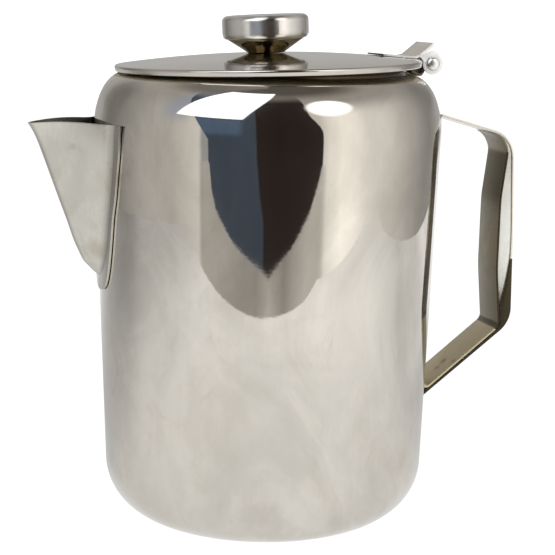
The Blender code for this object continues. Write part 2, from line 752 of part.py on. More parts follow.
def build_pump():
    loop = [(TUBE_BORE, TUBE_BOTTOM), (TUBE_RADIUS, TUBE_BOTTOM)]
    loop += [(TUBE_RADIUS, TUBE_TOP), (TUBE_BORE, TUBE_TOP)]
    points, faces = revolve(loop, TUBE_SEGMENTS)
    make_object("pump_tube", points, faces, (0.66, 0.65, 0.63), 0.25)

    low = FLOOR_Z + TOUCH_GAP
    deck = low + FOOT_HEIGHT
    neck = TUBE_RADIUS + TOUCH_GAP
    path = [(FOOT_RADIUS + 2.0, low), (FOOT_RADIUS, low + 1.2), (FOOT_DECK_RADIUS + 2.5, deck - 1.2)]
    path += [(FOOT_DECK_RADIUS, deck), (neck + 0.6, deck), (neck, deck + 0.6), (neck, FOOT_COLLAR_TOP)]
    points, faces = revolve(sheet_loop(path, -INNER_SHEET), 32)
    foot = make_object("pump_foot", points, faces, (0.62, 0.61, 0.59), 0.28)
    holes = ring_of_holes(VALVE_HOLE_RING, VALVE_HOLES, deck, VALVE_HOLE_RADIUS, 0.0)
    combine(foot, make_cutter("cut_valve_holes", *merge_shapes(holes)), "DIFFERENCE")

    inside = neck + INNER_SHEET + 0.5
    base = deck + INNER_SHEET + TOUCH_GAP
    top = base + VALVE_SHEET
    loop = [(inside, base), (VALVE_RADIUS, base), (VALVE_RADIUS, top), (inside, top)]
    points, faces = revolve(loop, 28)
    make_object("valve_washer", points, faces, (0.58, 0.58, 0.57), 0.30)

    stop = top + VALVE_LIFT + TOUCH_GAP
    bead = stop + 1.6
    hold = neck + INNER_SHEET + TOUCH_GAP
    loop = [(hold, stop), (hold + 3.0, stop), (hold + 3.0, bead - 0.5), (hold + 2.5, bead), (hold, bead)]
    points, faces = revolve(loop, 24)
    make_object("valve_stop_ring", points, faces, (0.58, 0.57, 0.55), 0.30)

    loop = [(neck, REST_Z), (REST_RADIUS - 1.5, REST_Z), (REST_RADIUS, REST_Z + 1.2)]
    loop += [(REST_RADIUS, REST_Z + REST_HEIGHT), (neck, REST_Z + REST_HEIGHT)]
    points, faces = revolve(loop, 24)
    make_object("basket_rest_collar", points, faces, (0.60, 0.59, 0.57), 0.30)


def build_basket():
    floor_hole = SLEEVE_RADIUS + TOUCH_GAP
    foot = BASKET_RADIUS - BASKET_TAPER
    outside = [(floor_hole, BASKET_FLOOR), (foot - 3.0, BASKET_FLOOR)]
    outside += arc((foot - 3.0, BASKET_FLOOR + 3.0), 3.0, -60.0, 0.0, 2)
    outside += [(BASKET_RADIUS, BASKET_TOP - 1.6), (BASKET_RADIUS + 1.5, BASKET_TOP)]
    points, faces = revolve(sheet_loop(outside, INNER_SHEET), BASKET_SEGMENTS)
    basket = make_object("basket_shell", points, faces, (0.60, 0.59, 0.57), 0.30)
    holes = ring_of_holes(BASKET_INNER_RING, DRIP_INNER_HOLES, BASKET_FLOOR, DRIP_HOLE_RADIUS, 0.0)
    holes += ring_of_holes(BASKET_OUTER_RING, DRIP_OUTER_HOLES, BASKET_FLOOR, DRIP_HOLE_RADIUS, 7.0)
    combine(basket, make_cutter("cut_basket_holes", *merge_shapes(holes)), "DIFFERENCE")

    bore = SLEEVE_RADIUS - INNER_SHEET
    deck = BASKET_FLOOR + INNER_SHEET + TOUCH_GAP
    brim = SLEEVE_RADIUS + SLEEVE_BRIM
    loop = [(bore, BASKET_FLOOR), (SLEEVE_RADIUS, BASKET_FLOOR), (SLEEVE_RADIUS, deck), (brim, deck)]
    loop += [(brim, deck + INNER_SHEET), (SLEEVE_RADIUS, deck + INNER_SHEET)]
    loop += [(SLEEVE_RADIUS, SLEEVE_TOP), (bore, SLEEVE_TOP)]
    points, faces = revolve(loop, TUBE_SEGMENTS)
    make_object("basket_sleeve", points, faces, (0.62, 0.61, 0.59), 0.28)

    seat = BASKET_TOP + INNER_SHEET + TOUCH_GAP
    hole = TUBE_RADIUS + 0.8
    path = [(SPREADER_RADIUS, seat + 1.6), (SPREADER_RADIUS, seat + 0.3), (SPREADER_RADIUS - 0.5, seat)]
    path += [(24.0, seat), (22.0, seat - 1.2), (hole + 2.5, seat - 1.2), (hole + 1.2, seat - 0.2)]
    path += [(hole + 1.2, seat + 3.0)]
    points, faces = revolve(sheet_loop(path, -INNER_SHEET), BASKET_SEGMENTS)
    spreader = make_object("spreader_plate", points, faces, (0.62, 0.61, 0.59), 0.28)
    holes = ring_of_holes(SPREADER_INNER_RING, DRIP_INNER_HOLES, seat, DRIP_HOLE_RADIUS, 4.0)
    holes += ring_of_holes(SPREADER_OUTER_RING, DRIP_OUTER_HOLES, seat, DRIP_HOLE_RADIUS, 0.0)
    combine(spreader, make_cutter("cut_spreader_holes", *merge_shapes(holes)), "DIFFERENCE")


clear_scene()
build_pot_shell()
build_spout()
build_handle()
build_hinge_bracket()
build_hinge_pin()
build_lid_shell()
build_lid_skirt()
build_lid_hinge_leaf()
build_knob()
build_knob_fastener()
build_pump()
build_basket()
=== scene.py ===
"""Looks of the stove-top coffee percolator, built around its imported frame."""

import math

import bmesh
import bpy
from mathutils import Matrix, Vector

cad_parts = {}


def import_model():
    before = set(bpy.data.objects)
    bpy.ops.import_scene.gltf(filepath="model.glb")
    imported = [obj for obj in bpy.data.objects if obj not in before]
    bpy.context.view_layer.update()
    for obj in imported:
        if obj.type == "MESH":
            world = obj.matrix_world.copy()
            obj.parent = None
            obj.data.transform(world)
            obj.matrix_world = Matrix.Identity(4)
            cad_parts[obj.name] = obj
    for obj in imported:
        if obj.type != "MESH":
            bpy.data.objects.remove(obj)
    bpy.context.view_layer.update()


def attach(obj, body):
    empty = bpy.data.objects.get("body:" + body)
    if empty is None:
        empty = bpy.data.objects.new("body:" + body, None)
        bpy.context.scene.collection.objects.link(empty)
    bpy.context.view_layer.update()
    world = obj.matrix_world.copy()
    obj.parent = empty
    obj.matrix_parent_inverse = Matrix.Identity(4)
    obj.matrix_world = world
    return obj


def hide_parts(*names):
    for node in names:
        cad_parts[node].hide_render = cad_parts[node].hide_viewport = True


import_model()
MM = 0.001

# ---------------------------------------------------------------- dimensions (mm), mostly as in the CAD
GAP = 0.3  # air between two pieces
POT_SHEET = 0.9
THIN_SHEET = 0.8  # knob, skirt and inner parts
BASE_CORNER = 25.0
BASE_RADIUS = 70.3
TOP_RADIUS = 75.0
SHOULDER_START = 168.0
SHOULDER_HEIGHT = 26.7
SHOULDER_POWER = 2.27
MOUTH_RADIUS = 59.5
NECK_TOP = 196.2
ROUND = 224  # segments of the pot and of the lid

LID_LIP_Z = 196.5  # the rim's lower edge, .3 mm below the CAD's
LID_RADIUS = 66.1
LID_CREASE_Z = 199.0
LID_RISE = 4.0
LID_ROUND = 0.9
LID_PIVOT_Z = 195.8
LID_TILT = 0.030
LID_SHEET = 0.8
HINGE = (72.2, 198.8)  # x and z of the pin
TUBE_RADIUS = 5.5


def spline(table, value):
    """Monotone cubic through (key, value) pairs."""
    keys = [k for k, _ in table]
    vals = [v for _, v in table]
    if value <= keys[0]:
        return vals[0]
    if value >= keys[-1]:
        return vals[-1]
    slopes = [(vals[i + 1] - vals[i]) / (keys[i + 1] - keys[i]) for i in range(len(keys) - 1)]
    tangents = [slopes[0]]
    for a, b in zip(slopes, slopes[1:]):
        tangents.append(0.0 if a * b <= 0.0 else 2.0 * a * b / (a + b))
    tangents.append(slopes[-1])
    i = max(j for j in range(len(keys) - 1) if keys[j] <= value)
    h = keys[i + 1] - keys[i]
    t = (value - keys[i]) / h
    return (
        (2 * t**3 - 3 * t**2 + 1) * vals[i]
        + (t**3 - 2 * t**2 + t) * h * tangents[i]
        + (-2 * t**3 + 3 * t**2) * vals[i + 1]
        + (t**3 - t**2) * h * tangents[i + 1]
    )


# ---------------------------------------------------------------- paths
def offset_path(path, distance):
    """The path moved to its left by a distance, mitred at its corners."""
    moved = []
    last = len(path) - 1
    for i, point in enumerate(path):
        here = Vector(point)
        before = here - Vector(path[i - 1]) if i > 0 else Vector(path[1]) - here
        after = Vector(path[i + 1]) - here if i < last else before
        before.normalize()
        after.normalize()
        left_before = Vector((-before.y, before.x))
        left_after = Vector((-after.y, after.x))
        middle = (left_before + left_after).normalized()
        stretch = max(middle.dot(left_after), 0.4)
        moved.append(tuple(here + middle * (distance / stretch)))
    return moved


def rounded_path(corners, radii, steps):
    """An open path whose inner corners become arcs of the given radii."""
    path = [corners[0]]
    for i in range(1, len(corners) - 1):
        corner = Vector(corners[i])
        back = (Vector(corners[i - 1]) - corner).normalized()
        ahead = (Vector(corners[i + 1]) - corner).normalized()
        half = 0.5 * math.acos(max(-1.0, min(1.0, back.dot(ahead))))
        reach = radii[i - 1] / math.tan(half)
        centre = corner + (back + ahead).normalized() * (radii[i - 1] / math.sin(half))
        start = corner + back * reach - centre
        end = corner + ahead * reach - centre
        turn = start.angle_signed(end)
        for k in range(steps + 1):
            bearing = -turn * k / steps
            c, s = math.cos(bearing), math.sin(bearing)
            path.append((centre.x + c * start.x - s * start.y, centre.y + s * start.x + c * start.y))
    path.append(corners[-1])
    return path


def refine(path, longest):
    """Adds points so that no step of a path is longer than this."""
    fine = [path[0]]
    for first, second in zip(path, path[1:]):
        a, b = Vector(first), Vector(second)
        count = max(1, math.ceil((b - a).length / longest))
        for k in range(1, count + 1):
            fine.append(tuple(a.lerp(b, k / count)))
    return fine


def arc(centre, radius, first_deg, last_deg, steps):
    turned = [math.radians(first_deg + (last_deg - first_deg) * k / steps) for k in range(steps + 1)]
    return [(centre[0] + radius * math.cos(a), centre[1] + radius * math.sin(a)) for a in turned]


def soft_loop(path, thickness, lip=0.25, steps=4):
    """A sheet's closed outline whose two free edges are rounded over."""
    other = offset_path(path, thickness)
    out = list(path)

    def cap(end, start, inward):
        end, start = Vector(end), Vector(start)
        across = (start - end) / 2.0
        away = Vector(inward).normalized() * min(lip, across.length)
        middle = end + across
        turned = []
        for k in range(1, steps):
            angle = math.pi * k / steps
            turned.append(tuple(middle - across * math.cos(angle) + away * math.sin(angle)))
        return turned

    out += cap(path[-1], other[-1], Vector(path[-1]) - Vector(path[-2]))
    out += other[::-1]
    out += cap(other[0], path[0], Vector(path[0]) - Vector(path[1]))
    return out


def soft_ring(loop_corners, radius, steps=3):
    """A closed outline with every corner rounded by up to this radius."""
    out = []
    count = len(loop_corners)
    for i in range(count):
        corner = Vector(loop_corners[i])
        before = Vector(loop_corners[i - 1]) - corner
        after = Vector(loop_corners[(i + 1) % count]) - corner
        if corner.x < 1e-6:
            out.append(tuple(corner))
            continue
        reach = min(radius, 0.45 * before.length, 0.45 * after.length)
        a = corner + before.normalized() * reach
        b = corner + after.normalized() * reach
        for k in range(steps + 1):
            t = k / steps
            out.append(tuple((1 - t) ** 2 * a + 2 * t * (1 - t) * corner + t * t * b))
    return out


# ---------------------------------------------------------------- meshes
def tilted(point):
    """A point of the lid, in 2-D or 3-D, after the lid's slight tilt."""
    c, s = math.cos(LID_TILT), math.sin(LID_TILT)
    x, rise = point[0], point[-1] - LID_PIVOT_Z
    turned = (x * c - rise * s, LID_PIVOT_Z + x * s + rise * c)
    return (turned[0], point[1], turned[1]) if len(point) == 3 else turned


def revolve(loop, segments, closed=True, place=None):
    """A profile of (radius, height) points turned about z, then moved by place."""
    points, rings = [], []
    for radius, height in loop:
        if radius < 1e-6:
            rings.append([len(points)])
            points.append((0.0, 0.0, height))
            continue
        start = len(points)
        for k in range(segments):
            angle = 2.0 * math.pi * k / segments
            points.append((radius * math.cos(angle), radius * math.sin(angle), height))
        rings.append(list(range(start, start + segments)))
    faces = []
    pairs = list(zip(rings, rings[1:] + rings[:1])) if closed else list(zip(rings, rings[1:]))
    for low, high in pairs:
        if len(low) == 1 and len(high) == 1:
            continue
        for k in range(segments):
            n = (k + 1) % segments
            if len(low) == 1:
                faces.append((low[0], high[n], high[k]))
            elif len(high) == 1:
                faces.append((low[k], low[n], high[0]))
            else:
                faces.append((low[k], low[n], high[n], high[k]))
    if place:
        points = [place(p) for p in points]
    return points, faces


def joined_rings(size, count):
    """Faces between rings of equal size that follow one another."""
    faces = []
    for a in range(0, size * (count - 1), size):
        for k in range(size):
            n = (k + 1) % size
            faces.append((a + k, a + n, a + size + n, a + size + k))
    return faces


def strip(path, thickness, half_width, slices=1):
    """A bent sheet: after one end cap come 2 * slices + 2 faces for each step of the path."""
    other = offset_path(path, thickness)
    around = [(0, -half_width + 2.0 * half_width * k / slices) for k in range(slices + 1)]
    around += [(1, half_width - 2.0 * half_width * k / slices) for k in range(slices + 1)]
    points = []
    for near, far in zip(path, other):
        for side, y in around:
            at = far if side else near
            points.append((at[0], y, at[1]))
    size = len(around)
    end = size * (len(path) - 1)
    last = tuple(range(end + size - 1, end - 1, -1))
    return points, [tuple(range(size)), *joined_rings(size, len(path)), last]


def plate(outline, low_y, high_y):
    """An outline in x and z made solid between two values of y."""
    count = len(outline)
    points = [(x, y, z) for y in (low_y, high_y) for x, z in outline]
    ends = [tuple(range(count)), tuple(range(2 * count - 1, count - 1, -1))]
    return points, ends + joined_rings(count, 2)


def drill(centre, axis, radius, half_length, segments):
    """A cylinder that cuts a hole."""
    way = Vector(axis).normalized()
    side = way.orthogonal().normalized()
    other = way.cross(side)
    points = []
    for end in (-half_length, half_length):
        for k in range(segments):
            angle = 2.0 * math.pi * (k + 0.5) / segments
            spoke = side * (radius * math.cos(angle)) + other * (radius * math.sin(angle))
            points.append(tuple(Vector(centre) + way * end + spoke))
    ends = [tuple(range(segments - 1, -1, -1)), tuple(range(segments, 2 * segments))]
    return points, ends + joined_rings(segments, 2)


def merge_shapes(shapes):
    points, faces = [], []
    for shape_points, shape_faces in shapes:
        base = len(points)
        points += shape_points
        faces += [tuple(base + i for i in face) for face in shape_faces]
    return points, faces


def measured(points, face, measure=2):
    """Least and greatest x, y or z (0, 1, 2) over a face's corners."""
    values = [points[k][measure] for k in face]
    return min(values), max(values)


def on_edge(points, face, half_width):
    """Whether a face lies in one of a strip's two edges."""
    least, most = measured(points, face, 1)
    return least > half_width - 0.01 or most < 0.01 - half_width


def raw_object(name, points, faces):
    mesh = bpy.data.meshes.new(name)
    mesh.from_pydata([Vector(p) * MM for p in points], [], faces)
    work = bmesh.new()
    work.from_mesh(mesh)
    bmesh.ops.recalc_face_normals(work, faces=work.faces)
    work.to_mesh(mesh)
    work.free()
    obj = bpy.data.objects.new(name, mesh)
    bpy.context.scene.collection.objects.link(obj)
    return obj


def change(thing, **settings):
    for key, value in settings.items():
        setattr(thing, key, value)
    return thing


def apply_modifiers(obj):
    graph = bpy.context.evaluated_depsgraph_get()
    shaped = bpy.data.meshes.new_from_object(obj.evaluated_get(graph))
    old = obj.data
    obj.modifiers.clear()
    obj.data = shaped
    bpy.data.meshes.remove(old)


def combine(obj, tool, **settings):
    """Applies an exact boolean with a second object, which is then removed."""
    change(obj.modifiers.new("Tool", "BOOLEAN"), object=tool, solver="EXACT", **settings)
    apply_modifiers(obj)
    bpy.data.objects.remove(tool, do_unlink=True)


def piece(
    name, shape, body, material, node, slot="polished_steel", bevel=0.0, holes=None, angle=32.0, others=(),
):
    """One visible piece: its mesh, its drilled holes, its softened edges, its finishes and its body.

    others are further finishes, each with the numbers of the faces that have it.
    """
    obj = raw_object(name, *shape)
    obj.data.materials.append(material)
    for number, (finish, members) in enumerate(others, 1):
        obj.data.materials.append(finish)
        for index in members:
            obj.data.polygons[index].material_index = number
    if holes:
        combine(obj, raw_object(name + "_tool", *merge_shapes(holes)))
    if bevel:
        edges = obj.modifiers.new("Edges", "BEVEL")
        change(edges, width=bevel * MM, segments=3, limit_method="ANGLE", angle_limit=math.radians(angle))
        apply_modifiers(obj)
    for polygon in obj.data.polygons:
        polygon.use_smooth = True
    obj.data.set_sharp_from_angle(angle=math.radians(50.0))
    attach(obj, body)
    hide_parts(*([node] if isinstance(node, str) else node))


def turned(name, loop, segments, body, material, node, place=None, **more):
    """A piece made by revolving its outline."""
    piece(name, revolve(loop, segments, place=place), body, material, node, **more)


# ---------------------------------------------------------------- finishes
class Graph:
    """Shorthand for building the node tree of a material or of the world."""

    def __init__(self, owner, coordinates):
        self.tree = owner.node_tree
        self.place = self.add("ShaderNodeTexCoord").outputs[coordinates]

    def add(self, kind, **settings):
        return change(self.tree.nodes.new(kind), **settings)

    def put(self, target, value):
        if isinstance(value, bpy.types.NodeSocket):
            self.tree.links.new(value, target)
        else:
            target.default_value = value

    def fill(self, node, **values):
        """Links or sets inputs by name, with _ for a blank."""
        for key, value in values.items():
            self.put(node.inputs[key.replace("_", " ")], value)
        return node

    def math(self, operation, *values):
        node = self.add("ShaderNodeMath", operation=operation)
        for socket, value in zip(node.inputs, values):
            self.put(socket, value)
        return node.outputs[0]

    def times(self, *values):
        out = values[0]
        for value in values[1:]:
            out = self.math("MULTIPLY", out, value)
        return out

    def noise(self, factors, detail=3.0, rough=0.55, offset=(0.0, 0.0, 0.0), warp=0.0):
        spread = self.add("ShaderNodeMapping", vector_type="POINT")
        self.fill(spread, Vector=self.place, Scale=factors, Location=offset)
        node = self.add("ShaderNodeTexNoise")
        self.fill(node, Vector=spread.outputs[0], Scale=1.0, Detail=detail, Roughness=rough, Distortion=warp)
        return node.outputs["Fac"]

    def span(self, value, low, high, out_low=0.0, out_high=1.0, kind="SMOOTHSTEP"):
        node = self.add("ShaderNodeMapRange", interpolation_type=kind)
        self.fill(node, Value=value, From_Min=low, From_Max=high, To_Min=out_low, To_Max=out_high)
        return node.outputs["Result"]

    def fade(self, value, low, high):
        return self.math("SUBTRACT", 1.0, self.span(value, low, high))

    def mix(self, share, first, second):
        node = self.add("ShaderNodeMix", data_type="RGBA")
        self.put(node.inputs[0], share)
        for socket, value in ((node.inputs[6], first), (node.inputs[7], second)):
            self.put(socket, (*value, 1.0) if isinstance(value, tuple) else value)
        return node.outputs[2]

    def ramp(self, share, stops, kind="LINEAR"):
        """A colour ramp through (position, colour) stops."""
        node = self.add("ShaderNodeValToRGB")
        node.color_ramp.interpolation = kind
        self.put(node.inputs[0], share)
        elements = node.color_ramp.elements
        while len(elements) < len(stops):
            elements.new(0.5)
        for element, (at, _) in zip(elements, stops):
            element.position = at
        for element, (_, colour) in zip(elements, stops):
            element.color = (*colour, 1.0)
        return node.outputs[0]

    def axes(self, vector):
        return self.fill(self.add("ShaderNodeSeparateXYZ"), Vector=vector).outputs

    def near(self, centre, radius):
        """1 at a point (mm) fading to 0 at a radius."""
        node = self.add("ShaderNodeVectorMath", operation="DISTANCE")
        self.put(node.inputs[0], self.place)
        self.put(node.inputs[1], [c * MM for c in centre])
        return self.span(node.outputs["Value"], 0.0, radius * MM, 1.0, 0.0)

    def bump(self, height, strength, distance, below=None):
        node = self.fill(self.add("ShaderNodeBump"), Strength=strength, Distance=distance, Height=height)
        if below is not None:
            self.put(node.inputs["Normal"], below)
        return node.outputs["Normal"]


def new_finish(name):
    """A new material with its graph and its shader."""
    material = bpy.data.materials.new(name)
    material.use_nodes = True
    return material, Graph(material, "Object"), material.node_tree.nodes["Principled BSDF"]


def tinted(colour, red, green=None, blue=None):
    factors = (red, red if green is None else green, red if blue is None else blue)
    return tuple(c * f for c, f in zip(colour, factors))


# Noise scales (per metre) of the drawn lines and of the finer hairlines, for each way the metal was drawn.
GRAINS = {
    "vertical": ((900.0, 900.0, 14.0), (2600.0, 2600.0, 30.0)),
    "turned": ((60.0, 60.0, 2600.0), (90.0, 90.0, 5200.0)),
    "along_x": ((16.0, 900.0, 500.0), (40.0, 2600.0, 1500.0)),
    "along_z": ((700.0, 900.0, 16.0), (1900.0, 2600.0, 40.0)),
    "flat": ((420.0, 420.0, 420.0), (1500.0, 1500.0, 1500.0)),
}
STAIN_COLOUR = (0.34, 0.235, 0.12)
SPECK_COLOUR = (0.10, 0.075, 0.055)
FILM_ROUGHNESS = 0.28
SPECK_SHARE = 0.3
RUBBED_SHARE = 0.35
GRAIN_BUMP = 0.00003
HAIR_BUMP = 0.00001


def steel(
    name, colour, roughness, grain="vertical", grain_depth=0.4, haze=0.06, stain=0.3, film=0.4, spots=(),
    streak=0.10, turned=0.0, smear=0.0, wave=0.0,
):
    """Worn stainless steel: drawn lines, hazy smudges, faint tea-coloured stains, specks and rubbed edges.

    spots are stained places: centre (mm), radius (mm), strength. turned is the anisotropy of a lathe-turned
    face, smear the strength of wiped patches, and wave the depth (m) of slow unevenness in the sheet.
    """
    material, g, shader = new_finish(name)
    lines = g.noise(GRAINS[grain][0], detail=2.0, rough=0.6)
    hair = g.noise(GRAINS[grain][1], detail=1.0, rough=0.5, offset=(3.1, 1.7, 0.4))
    cloud = g.noise((26.0, 26.0, 16.0), detail=4.0, rough=0.62, warp=0.4)
    patch = g.noise((60.0, 60.0, 45.0), detail=5.0, rough=0.66, offset=(7.0, 2.0, 5.0), warp=0.8)
    tiny = g.noise((850.0, 850.0, 850.0), detail=2.0, rough=0.5, offset=(1.0, 4.0, 9.0))

    amount = g.times(g.span(patch, 0.54, 0.74), g.span(cloud, 0.42, 0.62), stain)
    for centre, radius, strength in spots:
        dab = g.times(g.near(centre, radius), g.span(patch, 0.30, 0.62, 0.35, 1.0), strength)
        amount = g.math("MAXIMUM", amount, dab)
    speck = g.times(g.span(tiny, 0.735, 0.79), SPECK_SHARE)
    pointiness = g.add("ShaderNodeNewGeometry").outputs["Pointiness"]
    rubbed = g.times(g.span(pointiness, 0.515, 0.60), RUBBED_SHARE)

    light = tuple(min(1.0, c) for c in tinted(colour, 1.06))
    base = g.mix(g.span(cloud, 0.3, 0.7), tinted(colour, 0.90), light)
    base = g.mix(g.times(g.span(lines, 0.35, 0.7), streak), base, tinted(colour, 0.72))
    if smear:
        swirl = g.noise((17.0, 17.0, 11.0), detail=5.0, rough=0.58, offset=(2.0, 8.0, 3.0), warp=2.2)
        base = g.mix(g.times(g.span(swirl, 0.50, 0.36), smear), base, tinted(colour, 1.30))
        base = g.mix(g.times(g.span(swirl, 0.50, 0.66), smear), base, tinted(colour, 0.70, 0.68, 0.62))
    base = g.mix(amount, base, STAIN_COLOUR)
    base = g.mix(speck, base, SPECK_COLOUR)
    base = g.mix(rubbed, base, tuple(min(1.0, c) for c in tinted(colour, 1.25)))

    worn = g.span(patch, 0.40, 0.72, 0.0, haze)
    worn = g.math("ADD", worn, g.span(lines, 0.3, 0.75, 0.0, haze * 0.3))
    worn = g.math("ADD", worn, roughness)
    worn = g.math("ADD", worn, g.times(amount, 0.25))

    below = None
    if wave:
        below = g.bump(g.noise((34.0, 34.0, 22.0), detail=1.0, offset=(5.0, 1.0, 2.0)), 1.0, wave)
    relief = g.bump(lines, grain_depth, GRAIN_BUMP, below)
    relief = g.bump(hair, grain_depth * 0.6, HAIR_BUMP, relief)
    relief = g.bump(tiny, 0.05, GRAIN_BUMP, relief)

    g.fill(shader, Base_Color=base, Metallic=1.0, Roughness=worn, Normal=relief)
    g.fill(shader, Coat_Weight=film, Coat_Roughness=FILM_ROUGHNESS)
    if turned:
        around = g.add("ShaderNodeTangent", direction_type="RADIAL", axis="Z")
        g.fill(shader, Anisotropic=turned, Anisotropic_Rotation=0.25, Tangent=around.outputs["Tangent"])
    return material


BODY = steel("pot_steel", (0.625, 0.59, 0.53), 0.018, grain_depth=0.03, haze=0.012, stain=0.22, streak=0.05,
             smear=0.26, wave=0.00003, spots=(
                 ((46.0, -56.0, 34.0), 12.0, 0.30), ((55.0, -46.0, 60.0), 14.0, 0.16),
                 ((-20.0, -70.0, 20.0), 10.0, 0.12)))
# painted shade: the near-black colour stands in for the shade in the crevice under the lid, on the pot's neck and on
# the lid's skirt
NECK_PAINTED_SHADE = steel("neck_painted_shade_steel", (0.07, 0.057, 0.036), 0.25, grain="turned", haze=0.08, stain=0.5, film=0.0)
# painted reflection: the olive tint and rougher finish stand in for the bright band that the shoulder's top shows
# under the lid
LEDGE_PAINTED_SHEEN = steel("ledge_painted_sheen_steel", (0.56, 0.49, 0.33), 0.32, grain="turned", haze=0.05, film=0.1)
LID = steel("lid_steel", (0.60, 0.565, 0.51), 0.03, grain="turned", grain_depth=0.04, haze=0.03, stain=0.12,
            film=0.3)
KNOB = steel("knob_steel", (0.70, 0.675, 0.64), 0.20, grain="turned", grain_depth=0.08, haze=0.02, stain=0.08,
             film=0.10, turned=1.0)
# painted shade: the dark brownish colour stands in for the shade under the knob's drum
CONE_PAINTED_SHADE = steel("cone_painted_shade_steel", (0.30, 0.255, 0.165), 0.10, grain="turned", grain_depth=0.08, haze=0.04, stain=0.2,
             film=0.1)
SPOUT = steel("spout_steel", (0.61, 0.59, 0.53), 0.27, haze=0.08, stain=0.45, smear=0.30,
              spots=(((-80.5, -12.5, 130.0), 5.0, 0.85), ((-78.5, -11.0, 120.0), 8.0, 0.7)))
# painted shade: the dark colour stands in for the shade inside the spout
SPOUT_INSIDE_PAINTED_SHADE = steel("spout_inside_painted_shade_steel", (0.12, 0.11, 0.09), 0.32, haze=0.10, stain=0.5, film=0.1)
# painted shade: the darker grey stands in for the shade on the spout's flanges
FLANGE_PAINTED_SHADE = steel("spout_flange_painted_shade_steel", (0.47, 0.45, 0.41), 0.14, grain_depth=0.3, film=0.3)
STRAP = steel("strap_steel", (0.63, 0.60, 0.54), 0.13, grain="along_z", haze=0.07, stain=0.25,
              spots=(((92.0, -8.0, 63.0), 9.0, 0.30),))
# painted shade: the near-black colour stands in for the shade on the handle straps' side faces and on the lid leaf's
# inner end
SIDE_PAINTED_SHADE = steel("side_painted_shade_steel", (0.055, 0.046, 0.028), 0.24, grain="along_z", haze=0.08, film=0.0)
# painted light: the cream near-white colour stands in for the light on the handle's inner walls seen through its gap
GAP_FACE_PAINTED_LIGHT = steel("strap_back_painted_light_steel", (0.97, 0.94, 0.87), 0.22, grain="along_z", haze=0.05, stain=0.15, film=0.1)
# painted shade: the dark brown colour stands in for the shade on the inner strap, whose face is turned toward the
# pot
LINER_PAINTED_SHADE = steel("liner_painted_shade_steel", (0.205, 0.178, 0.122), 0.24, grain="along_z", grain_depth=0.5, haze=0.10, stain=0.35,
              film=0.05, spots=(((108.0, -6.0, 118.0), 12.0, 0.45),))
# painted reflection: the tan colour stands in for the warm light mirrored by the lower arm's inner face
ARM_PAINTED_SHEEN = steel("arm_painted_sheen_steel", (0.60, 0.52, 0.35), 0.22, grain="along_z", grain_depth=0.5, haze=0.10, stain=0.35,
            film=0.1, spots=(
                ((85.5, -1.0, 63.0), 3.2, 0.95), ((82.0, -2.0, 60.5), 3.0, 0.95), ((88.0, -8.0, 63.6), 2.6, 0.9)))
# painted light: the near-white colour stands in for the light that the lid's hinge leaf catches
LEAF_PAINTED_LIGHT = steel("leaf_painted_light_steel", (0.95, 0.91, 0.84), 0.30, grain="along_x", grain_depth=0.3, stain=0.12)
# painted light: the near-white colour stands in for the paper's light that the leaf's ears mirror
EAR_PAINTED_LIGHT = steel("ear_painted_light_steel", (0.95, 0.94, 0.91), 0.42, grain="flat", grain_depth=0.2, haze=0.05, stain=0.05)
# painted shade: the dark colour stands in for the shade under the lid's rim
BRACKET_PAINTED_SHADE = steel("bracket_painted_shade_steel", (0.13, 0.112, 0.08), 0.30, grain="along_x", haze=0.10, stain=0.4, film=0.1)
PIN = steel("pin_steel", (0.86, 0.85, 0.83), 0.30, grain="flat", grain_depth=0.2, haze=0.05, stain=0.05)
INNER = steel("inner_steel", (0.62, 0.60, 0.575), 0.24, grain="turned", haze=0.12, stain=0.5)
TUBE = steel("tube_steel", (0.64, 0.62, 0.59), 0.20, grain_depth=0.5, haze=0.10, stain=0.5)
ZINC = steel("fastener_steel", (0.60, 0.59, 0.58), 0.34, grain="flat", haze=0.10)


# ---------------------------------------------------------------- pot
STRAINER_ROWS = ((0.0,), (-2.6, 2.6), (-5.0, 0.0, 5.0), (-7.5, -2.5, 2.5, 7.5), (-5.0, 0.0, 5.0))  # degrees
STRAINER_LOW, STRAINER_STEP = 128.0, 7.5
SHOULDER_STEPS = 30


def shoulder_height(radius):
    part = max(0.0, min(1.0, (radius - MOUTH_RADIUS) / (TOP_RADIUS - MOUTH_RADIUS)))
    return SHOULDER_START + SHOULDER_HEIGHT * (1.0 - part**SHOULDER_POWER) ** (1.0 / SHOULDER_POWER)


def wall_radius(height):
    if height <= SHOULDER_START:
        part = max(0.0, height - BASE_CORNER) / (SHOULDER_START - BASE_CORNER)
        return BASE_RADIUS + (TOP_RADIUS - BASE_RADIUS) * part
    part = min(1.0, (height - SHOULDER_START) / SHOULDER_HEIGHT)
    reach = (1.0 - part**SHOULDER_POWER) ** (1.0 / SHOULDER_POWER)
    return MOUTH_RADIUS + (TOP_RADIUS - MOUTH_RADIUS) * reach


